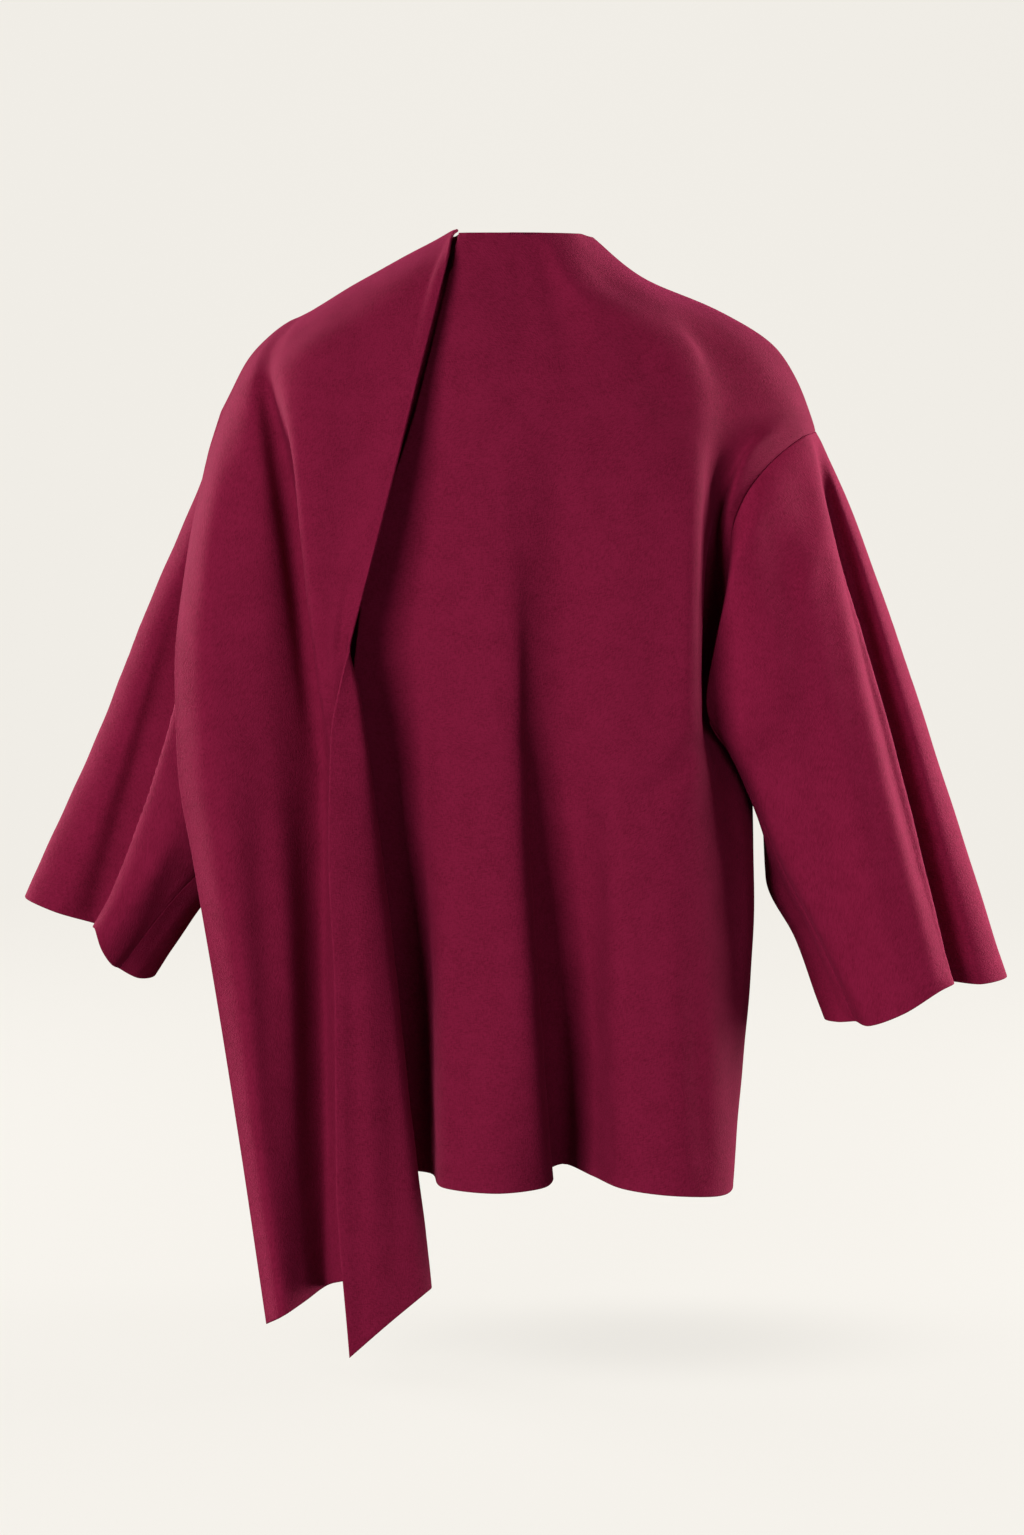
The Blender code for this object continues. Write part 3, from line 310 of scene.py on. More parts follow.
def glide(knots, keys):
    # smooth values at the keys, through knots whose first column is the key, with no overshoot
    knots = np.array(sorted(knots), dtype=float)
    key, value = knots[:, 0], knots[:, 1:]
    step = np.diff(key)[:, None]
    rise = np.diff(value, axis=0) / step
    slope = np.zeros_like(value)
    slope[0] = rise[0]
    slope[-1] = rise[-1]
    product = rise[:-1] * rise[1:]
    total = np.where(product > 0, rise[:-1] + rise[1:], 1.0)
    slope[1:-1] = np.where(product > 0, 2 * product / total, 0.0)
    keys = np.clip(np.atleast_1d(np.asarray(keys, dtype=float)), key[0], key[-1])
    span = np.clip(np.searchsorted(key, keys, side="right") - 1, 0, len(key) - 2)
    t = ((keys - key[span]) / (key[span + 1] - key[span]))[:, None]
    width = step[span]
    start = value[span] * (1 + 2 * t) * (1 - t) ** 2 + slope[span] * width * t * (1 - t) ** 2
    end = value[span + 1] * t * t * (3 - 2 * t) - slope[span + 1] * width * t * t * (1 - t)
    return start + end


def weave(rows, closed=False, perSpan=16):
    # a smooth curve through each row of points
    points = np.asarray(rows, dtype=float)
    if closed:
        points = np.concatenate([points[:, -2:], points, points[:, :3]], axis=1)
    else:
        first = 2 * points[:, :1] - points[:, 1:2]
        last = 2 * points[:, -1:] - points[:, -2:-1]
        points = np.concatenate([first, points, last], axis=1)
    gaps = np.sqrt(np.maximum(np.linalg.norm(np.diff(points, axis=1), axis=2), 1e-6))[..., None]
    slopes = np.diff(points, axis=1) / gaps
    wide = gaps[:, :-1] + gaps[:, 1:]
    tangent = slopes[:, :-1] + slopes[:, 1:] - (points[:, 2:] - points[:, :-2]) / wide
    begin, end = points[:, 1:-2], points[:, 2:-1]
    width = gaps[:, 1:-1]
    t = np.linspace(0, 1, perSpan, endpoint=False)[None, None, :, None]
    begin, end, width = begin[:, :, None], end[:, :, None], width[:, :, None]
    leave, arrive = tangent[:, :-1, None], tangent[:, 1:, None]
    curve = (begin * (1 + 2 * t) * (1 - t) ** 2 + leave * width * t * (1 - t) ** 2
             + end * t * t * (3 - 2 * t) - arrive * width * t * t * (1 - t))
    curve = curve.reshape(len(points), -1, 3)
    if closed:
        return np.concatenate([curve[:, perSpan:-perSpan], curve[:, perSpan:perSpan + 1]], axis=1)
    return np.concatenate([curve, points[:, -2:-1]], axis=1)


def shareOut(curves, shares):
    # points at the given shares of each curve's length
    shares = np.broadcast_to(shares, (len(curves), np.shape(shares)[-1]))
    out = np.empty((len(curves), shares.shape[1], 3))
    for index, curve in enumerate(curves):
        length = np.concatenate([[0], np.cumsum(np.linalg.norm(np.diff(curve, axis=0), axis=1))])
        for axis in range(3):
            out[index, :, axis] = np.interp(shares[index] * length[-1], length, curve[:, axis])
    return out


def even(count):
    return np.linspace(0, 1, count + 1)


def fillRows(fixed, step):
    # the fixed shares with evenly spaced ones between them, about a step apart
    rows = []
    for start, end in zip(fixed, fixed[1:]):
        count = max(1, round((end - start) / step))
        rows += list(np.linspace(start, end, count, endpoint=False))
    return np.array(rows + [fixed[-1]])


def unit(vectors):
    return vectors / np.maximum(np.linalg.norm(vectors, axis=-1, keepdims=True), 1e-9)


def gridNormals(grid, side, wrapped=False):
    along = np.gradient(grid, axis=1)
    if wrapped:
        joint = (grid[:, 1] - grid[:, -2]) / 2
        along[:, 0] = joint
        along[:, -1] = joint
    return unit(np.cross(along, np.gradient(grid, axis=0))) * side


def soften(grid, times, wrapped=False):
    # evens out the folds a little, with the edges kept where they are
    grid = grid.copy()
    for _ in range(times):
        inside = grid[1:-1]
        if wrapped:
            ring = np.concatenate([inside[:, -2:-1], inside, inside[:, 1:2]], axis=1)
            beside = ring[:, :-2] + ring[:, 2:]
            mean = (grid[:-2] + grid[2:] + beside) / 4
            grid[1:-1] += (mean - inside) * 0.5
            seam = (grid[1:-1, 0] + grid[1:-1, -1]) / 2
            grid[1:-1, 0] = seam
            grid[1:-1, -1] = seam
        else:
            core = grid[1:-1, 1:-1]
            mean = (grid[:-2, 1:-1] + grid[2:, 1:-1] + grid[1:-1, :-2] + grid[1:-1, 2:]) / 4
            grid[1:-1, 1:-1] = core + (mean - core) * 0.5
    return grid


bodyFixedRows = (0, 0.11, shoulderShare, 0.36, 0.48, sleeveSeamShare, underarmShare, 0.77, 1.0)
bodyStep = 0.0036
rowShares = fillRows(bodyFixedRows, bodyStep)
shoulderRow = int(np.argmin(np.abs(rowShares - shoulderShare)))
underarmRow = int(np.argmin(np.abs(rowShares - underarmShare)))
seamStart = underarmRow - int(np.argmin(np.abs(rowShares - sleeveSeamShare)))


def edgePoints(rows, column):
    # one of the lines beside the left armhole: column 0 is the seam
    return glide([(row[0], *row[1 + column]) for row in edgeLines], rows)


def mirrored(points):
    points = np.array(points)
    points[..., 0] = rightSideShift - points[..., 0] * rightSideReach
    return points


def panelRows(lines, rows, edges):
    # rows of points across a front or the back, from the armhole's edge over the fold lines
    middle = glide(middleHeights, rows)[:, 0]
    columns = list(edges)
    for name, knots in lines.items():
        height = middle + edgePull.get(name, 0) * (edges[0][:, 2] - middle)
        height -= hemDrop.get(name, 0) * rows ** hemDropPower
        columns.append(np.column_stack([glide(knots, height), height]))
    return np.stack(columns, axis=1)


def leftFrontGrid(rows, columns):
    edges = [edgePoints(rows, column) for column in range(3)]
    return shareOut(weave(panelRows(leftFrontLines, rows, edges)), even(columns))


def rightFrontGrid(rows, columns):
    edges = [mirrored(edgePoints(rows, column)) for column in range(3)]
    below = rows > underarmShare
    edges[2][below, 1] = np.maximum(edges[2][below, 1], rightLipReach)
    return shareOut(weave(panelRows(rightFrontLines, rows, edges)), even(columns))


def backGrid(rows, columns):
    armhole = (rows >= backArmhole[0][0]) & (rows <= backArmhole[-1][0])
    left = np.where(armhole[:, None], glide(backArmhole, rows), edgePoints(rows, 0))
    net = panelRows(backLines, rows, [left])
    net = np.concatenate([net, mirrored(left)[:, None]], axis=1)
    return shareOut(weave(net), even(columns))


def armholeLoop(front, back):
    # the sewn points of an armhole: from the underarm up the front, over and down the back
    up = front[shoulderRow:underarmRow + 1][::-1]
    down = back[shoulderRow + 1:underarmRow]
    return np.roll(np.concatenate([up, down]), -seamStart, axis=0)


def sleeveGrid(loop, rails, lines, lip, rise, rows):
    # rows round a sleeve, from its armhole to its cuff, each starting at the underarm seam
    closedLoop = np.concatenate([loop, loop[:1]])
    length = np.concatenate([[0], np.cumsum(np.linalg.norm(np.diff(closedLoop, axis=0), axis=1))])
    shares = length / length[-1]
    shoulder = shares[(underarmRow - shoulderRow - seamStart) % len(loop)]
    stations = [rail[0] for rail in rails]
    columns = []
    for name, (share, *knots) in lines.items():
        place = np.interp(share, (0, 0.5, 1), (0, shoulder, 1))
        start = shareOut([closedLoop], [place])[0, 0]
        across, forward = glide([(at, *knot) for at, knot in zip(foldStations, knots)], stations).T
        railOuter = np.array([rail[1] for rail in rails])
        railInner = np.array([rail[3 if name in backRailLines else 2] for rail in rails])
        flat = railInner + across[:, None] * (railOuter - railInner)
        path = np.column_stack([stations, flat[:, 0], sleeveMiddle - forward, flat[:, 1]])
        puff = [lip[name]] if name in lip else []
        column = glide([(0, *start), *puff, *map(tuple, path)], rows)
        column[:, 2] += rise.get(name, 0) * rows ** cuffRisePower
        columns.append(column)
    ease = np.clip(rows / settleRow, 0, 1)[:, None]
    evenly = np.linspace(0, 1, len(shares))[None, :]
    grid = shareOut(weave(np.stack(columns, axis=1), closed=True), shares * (1 - ease) + evenly * ease)
    fade = np.clip(1 - rows / loopReach, 0, 1) ** 2
    return grid + fade[:, None, None] * (closedLoop - grid[0])[None]


def capeGrid(shoulder, shoulderOut, rows, columns):
    # rows across the cape, from its outer edge to the cut edge that crosses the front
    lifted = shoulder + shoulderOut * (capeLift + cloth["thickness"] / 2)
    lines = []
    for share, *knots in capeLines.values():
        top = shareOut([lifted], [share])[0, 0]
        lines.append(glide([(0, *top), *knots], rows))
    grid = shareOut(weave(np.stack(lines, axis=1)), even(columns))
    fade = np.clip(1 - rows / capeSettle, 0, 1)[:, None, None] ** 2
    return grid + fade * (shareOut([lifted], even(columns))[0] - grid[0])[None]


creaseForm = {
    "overrun": 0.04,      # how far past its ends a crease fades out, as a share of its length
    "fadePower": 0.8,
    "bankOffset": 1.7,    # distance and width of the bank, in widths of the trough
    "bankWidth": 1.1,
    "facingGain": 2.2,    # a crease acts only on cloth that faces the side it is seen from
    "facingBase": 0.15,
}


def crease(points, normal, fold):
    # how far one crease moves each point along its normal
    form = creaseForm
    towards = {"front": -1, "back": 1}[fold["seen"]]
    plane = points[..., (0, 2)]
    start, end = np.array(fold["start"], float), np.array(fold["end"], float)
    way = end - start
    reach = np.linalg.norm(way)
    way /= reach
    across = np.array([-way[1], way[0]])
    run = ((plane - start) @ way) / reach
    share = np.clip(run, 0, 1)
    off = (plane - start) @ across - fold["bow"] * np.sin(np.pi * share)
    width = fold["width"] * (1 + fold["flare"] * (share - 0.5))
    along = np.clip((run + form["overrun"]) / (1 + 2 * form["overrun"]), 0, 1)
    fade = np.clip(np.sin(np.pi * along), 0, 1) ** form["fadePower"]
    facing = np.clip(normal[..., 1] * towards * form["facingGain"] + form["facingBase"], 0, 1)
    trough = np.exp(-(off / width) ** 2)
    beside = off - fold["bankSide"] * form["bankOffset"] * width
    bank = np.exp(-(beside / (form["bankWidth"] * width)) ** 2)
    return -fold["depth"] * (trough - fold["bank"] * bank) * fade * facing


def sway(points, amount):
    # slow unevenness, so that no fold is perfectly smooth
    x, y, z = np.moveaxis(points, -1, 0)
    slow = np.sin(x / 31 + z / 47 + 0.7) + np.sin(y / 27 - z / 61 + 2.1) + np.sin(x / 53 - y / 37 + 4.0)
    quick = np.sin(x / 13 + z / 23 + 1.3) * np.sin(z / 17 - y / 15 + 0.4)
    return amount * (slow / 2.2 + 0.45 * quick)


def edgeDistance(grid):
    # along-the-cloth distance from each point to the nearest edge, in millimetres
    across = np.linalg.norm(np.diff(grid, axis=1), axis=2)
    down = np.linalg.norm(np.diff(grid, axis=0), axis=2)
    rows, columns = grid.shape[:2]
    zero = np.zeros((rows, 1))
    fromFirst = np.concatenate([zero, np.cumsum(across, axis=1)], axis=1)
    fromLast = fromFirst[:, -1:] - fromFirst
    fromTop = np.concatenate([np.zeros((1, columns)), np.cumsum(down, axis=0)])
    fromHem = fromTop[-1:] - fromTop
    return fromFirst, fromLast, fromTop, fromHem


def withBorder(values, axis, inset):
    # swaps the first and last line for a few that step in from the edge
    values = np.moveaxis(values, axis, 0)
    steps = inset + cloth["edgeRound"] * np.array(cloth["edgeSteps"])

    def rim(first, second, gap):
        gap = np.maximum(gap, 1e-6)
        return [first + (second - first) * (step / gap)[..., None] for step in steps]

    near = np.linalg.norm(values[1, ..., :3] - values[0, ..., :3], axis=-1)
    far = np.linalg.norm(values[-2, ..., :3] - values[-1, ..., :3], axis=-1)
    start = rim(values[0], values[1], near)
    end = rim(values[-1], values[-2], far)[::-1]
    joined = np.concatenate([np.stack(start), values[1:-1], np.stack(end)])
    return np.moveaxis(joined, 0, axis)


def clothShell(name, grid, normal, side, inset):
    # a closed thin shell with rounded edges, from the outer face and its normals
    both = np.concatenate([grid, normal], axis=2)
    both = withBorder(both, 1, inset)
    both = withBorder(both, 0, inset)
    outer, way = both[..., :3], unit(both[..., 3:])
    fromFirst, fromLast, fromTop, fromHem = edgeDistance(outer)
    nearest = np.minimum(np.minimum(fromFirst, fromLast), np.minimum(fromTop, fromHem))
    half = cloth["thickness"] / 2
    swell = half * np.sqrt(np.clip(1 - (1 - np.clip(nearest / cloth["edgeRound"], 0, 1)) ** 2, 0, 1))
    middle = outer - way * half
    front = middle + way * swell[..., None]
    behind = middle - way * swell[..., None]
    rows, columns = outer.shape[:2]
    index = np.arange(rows * columns).reshape(rows, columns)
    inner = index.copy()
    inner[1:-1, 1:-1] = rows * columns + np.arange((rows - 2) * (columns - 2)).reshape(rows - 2, -1)
    points = np.concatenate([front.reshape(-1, 3), behind[1:-1, 1:-1].reshape(-1, 3)]) * mm

    def quads(net, flip):
        loops = [net[:-1, :-1], net[:-1, 1:], net[1:, 1:], net[1:, :-1]]
        if flip:
            loops = loops[::-1]
        return np.stack(loops, axis=-1).reshape(-1, 4)

    faces = np.concatenate([quads(index, side < 0), quads(inner, side > 0)])
    mesh = bpy.data.meshes.new(name)
    mesh.from_pydata(points, [], faces)
    acrossAt = fromFirst - fromFirst[:, columns // 2][:, None]
    flat = np.stack([acrossAt, -fromTop], axis=-1) * mm
    place = np.concatenate([flat.reshape(-1, 2), flat[1:-1, 1:-1].reshape(-1, 2)])
    corners = np.empty(len(mesh.loops), dtype=np.int32)
    mesh.loops.foreach_get("vertex_index", corners)
    layer = mesh.uv_layers.new(name="cloth")
    layer.uv.foreach_set("vector", place[corners].astype(np.float32).ravel())
    mesh.shade_smooth()
    mesh.validate()
    piece = bpy.data.objects.new(name, mesh)
    bpy.context.scene.collection.objects.link(piece)
    return piece


def mark(seen, start, end, width, depth, bow=0, flare=0, bank=0.45, bankSide=1):
    # One crease, beside the folds that the tables give: the side of the garment it is
    # on, its ends as (across, height), how far its middle bows aside and how much it widens. A bank
    # is the cloth pushed up beside it, as a share of its depth, on the +X side for 1, else on the other.
    return {"seen": seen, "start": start, "end": end, "width": width, "depth": depth,
            "bow": bow, "flare": flare, "bank": bank, "bankSide": bankSide}


# Each piece's tint scales its wool colour as painted light and shade: above 1 the piece is painted lighter,
# below 1 darker.
leftFront = {"columns": 150, "soften": 3, "tint": 1.0, "flat": (0.56, 0.82), "area": 0.333, "creases": [
    mark("front", (24, -150), (44, -540), 44, 10, bank=0.4, bankSide=-1),
    mark("front", (150, -130), (144, -350), 9, 6, bank=0.3, bankSide=-1),
    mark("front", (40, -400), (60, -750), 20, 3.5, flare=0.4),
    mark("front", (90, -480), (104, -760), 20, 2.6, flare=0.6),
    mark("front", (-46, -520), (-55, -760), 13, 2.2, bankSide=-1),
    mark("front", (132, -540), (146, -760), 10, 2.8),
    mark("front", (148, -352), (84, -424), 11, 2.6, bow=6),
    mark("front", (52, 6), (132, -116), 16, 2.2, bow=-9, bank=0.7),
    mark("front", (-20, 20), (-34, -190), 17, 1.5, bow=5),
]}
rightFront = {"columns": 70, "soften": 3, "tint": 0.98, "flat": (0.30, 0.82), "area": 0.137, "creases": [
    mark("front", (-128, -430), (-120, -760), 13, 2.4),
    mark("front", (-190, -420), (-176, -760), 15, 2.8, bankSide=-1),
]}
backPanel = {"columns": 120, "soften": 3, "tint": 1.0, "flat": (0.62, 0.82), "area": 0.38, "creases": [
    mark("back", (118, -40), (84, -350), 20, 4.2, bow=8),
    mark("back", (-128, -56), (-96, -330), 18, 3.8, bow=-10),
    mark("back", (18, -300), (26, -770), 22, 4.6, flare=0.7),
    mark("back", (-44, -420), (-58, -770), 16, 3.6, bankSide=-1),
    mark("back", (128, -430), (112, -770), 17, 3.4, flare=0.4),
    mark("back", (178, -372), (106, -500), 12, 3.2, bow=-8),
    mark("back", (-190, -376), (-118, -520), 13, 3.4, bow=9),
    mark("back", (-6, 30), (10, -110), 16, 2.0),
    mark("back", (-150, -560), (-142, -770), 11, 2.6),
]}
leftSleeve = {"step": 0.0062, "soften": 2, "tint": 1.2, "flat": (0.56, 0.50), "area": 0.200, "creases": [
    mark("front", (252, -160), (362, -600), 9, 5, bow=-6, bank=0.5, bankSide=-1),
    mark("front", (186, -168), (226, -312), 14, 2.4, bow=5),
    mark("front", (222, -300), (274, -600), 17, 3.0, flare=0.5),
    mark("front", (192, -462), (266, -622), 8, 6, bow=3, bank=0.6),
    mark("back", (252, -210), (316, -600), 18, 4.4, bow=-6),
    mark("back", (288, -200), (372, -590), 13, 3.4, bankSide=-1),
    mark("back", (206, -330), (268, -500), 12, 2.8),
]}
rightSleeve = {"step": 0.0062, "soften": 2, "tint": 1.04, "flat": (0.50, 0.44), "area": 0.164, "creases": [
    mark("front", (-290, -250), (-382, -560), 11, 6, bow=4, bank=0.45),
    mark("front", (-270, -400), (-326, -580), 13, 2.8, bankSide=-1),
    mark("back", (-262, -200), (-336, -560), 17, 4.2, bow=7),
    mark("back", (-300, -190), (-396, -540), 13, 3.2),
    mark("back", (-222, -330), (-300, -500), 12, 2.6, bankSide=-1),
]}
# The turned-back tail shows its inner face, so its marks are drawn on the back and run the other way
capePanel = {"columns": 170, "step": 0.005, "soften": 2, "tint": 1.05, "flat": (0.37, 0.92), "area": 0.220,
             "creases": [
    mark("front", (-216, -70), (-176, -380), 8, 6, bow=5, bank=0.4),
    mark("front", (-246, -90), (-240, -400), 19, 2.6, bankSide=-1),
    mark("front", (-104, -10), (-146, -226), 18, 1.6, bow=5),
    mark("front", (-222, -420), (-200, -860), 14, 3.4, flare=0.5),
    mark("front", (-184, -410), (-180, -850), 11, 3.8, bankSide=-1),
    mark("back", (-118, -470), (-106, -850), 14, -2.4),
    mark("back", (-145, -420), (-136, -880), 10, -1.8, bankSide=-1),
]}

print("cape jacket: laying out the cloth")
leftGrid = leftFrontGrid(rowShares, leftFront["columns"])
rightGrid = rightFrontGrid(rowShares, rightFront["columns"])
rearGrid = backGrid(rowShares, backPanel["columns"])
leftLoop = armholeLoop(leftGrid[:, 0], rearGrid[:, 0])
rightLoop = armholeLoop(rightGrid[:, 0], rearGrid[:, -1])
leftRows, rightRows = [fillRows((0, settleRow, 1.0), sleeve["step"]) for sleeve in (leftSleeve, rightSleeve)]
leftTube = sleeveGrid(leftLoop, leftRails, leftSleeveLines, leftLip, leftCuffRise, leftRows)
rightTube = sleeveGrid(rightLoop, rightRails, rightSleeveLines, {}, rightCuffRise, rightRows)

leftGrid = soften(leftGrid, leftFront["soften"])
rightGrid = soften(rightGrid, rightFront["soften"])
rearGrid = soften(rearGrid, backPanel["soften"])
leftTube = soften(leftTube, leftSleeve["soften"], True)
rightTube = soften(rightTube, rightSleeve["soften"], True)


def meanNormals(frontNormal, rearNormal, tubeNormal, rearColumn):
    # sewn edges share one way out, the mean of the two cloths'
    for rows in (np.arange(0, shoulderRow), np.arange(underarmRow + 1, len(rowShares))):
        shared = unit(frontNormal[rows, 0] + rearNormal[rows, rearColumn])
        frontNormal[rows, 0] = shared
        rearNormal[rows, rearColumn] = shared
    body = armholeLoop(frontNormal[:, 0], rearNormal[:, rearColumn])
    shared = unit(body + tubeNormal[0, :-1])
    around = np.arange(len(shared) + 1) % len(shared)
    tubeNormal[0] = shared[around]
    place = (np.arange(len(shared) + 1) - seamStart) % len(shared)
    up = np.arange(underarmRow, shoulderRow - 1, -1)
    down = np.arange(shoulderRow, underarmRow + 1)
    frontNormal[up, 0] = shared[place[:len(up)]]
    rearNormal[down, rearColumn] = shared[place[len(up) - 1:]]


leftOut = gridNormals(leftGrid, 1)
rightOut = gridNormals(rightGrid, -1)
rearOut = gridNormals(rearGrid, -1)
leftTubeOut = gridNormals(leftTube, -1, True)
rightTubeOut = gridNormals(rightTube, 1, True)
meanNormals(leftOut, rearOut, leftTubeOut, 0)
meanNormals(rightOut, rearOut, rightTubeOut, -1)

shoulderLine = rightGrid[:shoulderRow + 1, 0][::-1]
shoulderOut = rightOut[:shoulderRow + 1, 0][::-1]
capeRowShares = fillRows(capeFixedRows, capePanel["step"])
capeNet = capeGrid(shoulderLine, shoulderOut, capeRowShares, capePanel["columns"])
capeNet = soften(capeNet, capePanel["soften"])
capeOut = gridNormals(capeNet, -1)
capeNet = capeNet + capeOut * cloth["thickness"] / 2


def finishGrid(grid, normal, settings, seams):
    # creases, unevenness and drawn-in seams, all as moves along the normal
    first, last, top, hem = edgeDistance(grid)
    free = np.minimum.reduce([first, last, top, hem])
    move = sway(grid, cloth["sway"]) * np.clip(free / cloth["swayReach"], 0, 1)
    for fold in settings["creases"]:
        move = move + crease(grid, normal, fold) * np.clip(free / cloth["creaseReach"], 0, 1)
    for edge in seams:
        gap = {"first": first, "last": last, "top": top, "hem": hem}[edge]
        move = move - cloth["seamDip"] * np.exp(-(gap / cloth["seamReach"]) ** 2)
    return grid + normal * move[..., None]


print("cape jacket: shaping folds and making the shells")
pieces = {}
jobs = (
    ("back", rearGrid, rearOut, -1, backPanel, ("first", "last")),
    ("left_front", leftGrid, leftOut, 1, leftFront, ("first",)),
    ("right_front", rightGrid, rightOut, -1, rightFront, ("first",)),
    ("left_sleeve", leftTube, leftTubeOut, -1, leftSleeve, ("first", "last", "top")),
    ("right_sleeve", rightTube, rightTubeOut, 1, rightSleeve, ("first", "last", "top")),
    ("cape_panel", capeNet, capeOut, -1, capePanel, ()),
)
for name, grid, way, side, settings, seams in jobs:
    shaped = finishGrid(grid, way, settings, seams)
    pieces[name] = clothShell(name + "_wool", shaped, way, side, cloth["seamGap"] / 2)
    print("  ", name, len(pieces[name].data.polygons) * 2, "triangles")


def node(tree, kind, x, y, inputs=None, **values):
    made = tree.nodes.new(kind)
    made.location = (x, y)
    for name, value in values.items():
        setattr(made, name, value)
    for name, value in (inputs or {}).items():
        made.inputs[name].default_value = value
    return made


def joinUp(tree, *links):
    # each link is (node, its output, node, its input)
    for source, output, target, socket in links:
        tree.links.new(source.outputs[output], target.inputs[socket])


def woolGroup():
    # felted wool: mottled colour, and a normal from its nap over a faint weave
    group = bpy.data.node_groups.new("woolSurface", "ShaderNodeTree")
    for name, way, kind in (
            ("Colour", "INPUT", "Color"), ("Dark Colour", "INPUT", "Color"), ("Mottle", "INPUT", "Float"),
            ("Nap", "INPUT", "Float"), ("Weave", "INPUT", "Float"), ("Colour", "OUTPUT", "Color"),
            ("Roughness", "OUTPUT", "Float"), ("Normal", "OUTPUT", "Vector")):
        group.interface.new_socket(name=name, in_out=way, socket_type="NodeSocket" + kind)
    given = node(group, "NodeGroupInput", -1200, 0)
    result = node(group, "NodeGroupOutput", 900, 0)
    place = node(group, "ShaderNodeTexCoord", -1200, -300)
    patches = node(group, "ShaderNodeTexNoise", -900, 300, {"Scale": 55, "Detail": 5, "Roughness": 0.62})
    fibre = node(group, "ShaderNodeTexNoise", -900, 60, {"Scale": 700, "Detail": 3, "Roughness": 0.6})
    # the weave runs with the piece's own flat cloth, warp down it and weft across
    stretch = node(group, "ShaderNodeMapping", -1000, -260, {"Scale": (1, 0.28, 1)})
    warp = node(group, "ShaderNodeTexNoise", -780, -240, {"Scale": 900, "Detail": 2})
    turn = node(group, "ShaderNodeMapping", -1000, -520, {"Scale": (0.28, 1, 1)})
    weft = node(group, "ShaderNodeTexNoise", -780, -500, {"Scale": 900, "Detail": 2})
    grain = node(group, "ShaderNodeMath", -560, -360, operation="ADD")
    # colour: patches with a little of the fibre, then the threads
    speck = node(group, "ShaderNodeMath", -860, -60, {1: 0.45}, operation="MULTIPLY")
    spread = node(group, "ShaderNodeMath", -640, 260, {1: 0.55}, operation="MULTIPLY_ADD")
    centred = node(group, "ShaderNodeMapRange", -440, 260, {"From Min": 0.36, "From Max": 0.64})
    amount = node(group, "ShaderNodeMath", -240, 200, operation="MULTIPLY")
    threads = node(group, "ShaderNodeMapRange", -300, -80,
                   {"From Min": 0.7, "From Max": 1.3, "To Min": -0.8, "To Max": 0.8})
    mixed = node(group, "ShaderNodeMath", -160, 60, operation="MULTIPLY_ADD")
    dye = node(group, "ShaderNodeMix", 0, 240, data_type="RGBA")
    rough = node(group, "ShaderNodeMapRange", 0, 0, {"To Min": 0.82, "To Max": 0.98})
    # relief: fibres first, the weave over them
    napBump = node(group, "ShaderNodeBump", 300, -200, {"Distance": 0.0006})
    weaveBump = node(group, "ShaderNodeBump", 520, -260, {"Distance": 0.0005})
    joinUp(
        group,
        (place, "Object", patches, "Vector"),
        (place, "Object", fibre, "Vector"),
        (place, "UV", stretch, "Vector"),
        (stretch, "Vector", warp, "Vector"),
        (place, "UV", turn, "Vector"),
        (turn, "Vector", weft, "Vector"),
        (warp, "Fac", grain, 0),
        (weft, "Fac", grain, 1),
        (patches, "Fac", spread, 0),
        (fibre, "Fac", speck, 0),
        (speck, "Value", spread, 2),
        (spread, "Value", centred, "Value"),
        (centred, "Result", amount, 0),
        (given, "Mottle", amount, 1),
        (grain, "Value", threads, "Value"),
        (threads, "Result", mixed, 0),
        (given, "Weave", mixed, 1),
        (amount, "Value", mixed, 2),
        (mixed, "Value", dye, "Factor"),
        (given, "Colour", dye, "A"),
        (given, "Dark Colour", dye, "B"),
        (dye, "Result", result, "Colour"),
        (fibre, "Fac", rough, "Value"),
        (rough, "Result", result, "Roughness"),
        (given, "Nap", napBump, "Strength"),
        (fibre, "Fac", napBump, "Height"),
        (given, "Weave", weaveBump, "Strength"),
        (grain, "Value", weaveBump, "Height"),
        (napBump, "Normal", weaveBump, "Normal"),
        (weaveBump, "Normal", result, "Normal"),
    )
    return group


wool = {
    "colour": (0.165, 0.0065, 0.031),
    "darkColour": (0.105, 0.003, 0.017),
    "mottle": 0.55,
    "nap": 0.55,
    "weave": 0.6,
    "specular": 0.07,
    "sheen": 0.22,
    "sheenRoughness": 0.30,
    "sheenTint": (1.0, 0.07, 0.26),
}
woolSurface = woolGroup()


def woolMaterial(name, tint):
    material = bpy.data.materials.new(name)
    material.use_nodes = True
    tree = material.node_tree
    shader = tree.nodes["Principled BSDF"]
    surface = tree.nodes.new("ShaderNodeGroup")
    surface.location = (-400, 100)
    surface.node_tree = woolSurface
    # the colours are scaled by the piece's tint, which paints in light and shade
    for socket, value in (
            ("Colour", (*[c * tint for c in wool["colour"]], 1)),
            ("Dark Colour", (*[c * tint for c in wool["darkColour"]], 1)),
            ("Mottle", wool["mottle"]), ("Nap", wool["nap"]), ("Weave", wool["weave"])):
        surface.inputs[socket].default_value = value
    joinUp(tree, (surface, "Colour", shader, "Base Color"), (surface, "Roughness", shader, "Roughness"),
           (surface, "Normal", shader, "Normal"))
    shader.inputs["Specular IOR Level"].default_value = wool["specular"]
    shader.inputs["Sheen Weight"].default_value = wool["sheen"]
    shader.inputs["Sheen Roughness"].default_value = wool["sheenRoughness"]
    shader.inputs["Sheen Tint"].default_value = (*wool["sheenTint"], 1)
    return material


print("cape jacket: wool")
for name, settings in (("back", backPanel), ("left_front", leftFront), ("right_front", rightFront),
                       ("left_sleeve", leftSleeve), ("right_sleeve", rightSleeve),
                       ("cape_panel", capePanel)):
    piece = pieces[name]
    piece.data.materials.append(woolMaterial("wool_" + name, settings["tint"]))
    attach(piece, "root")
    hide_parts(name)


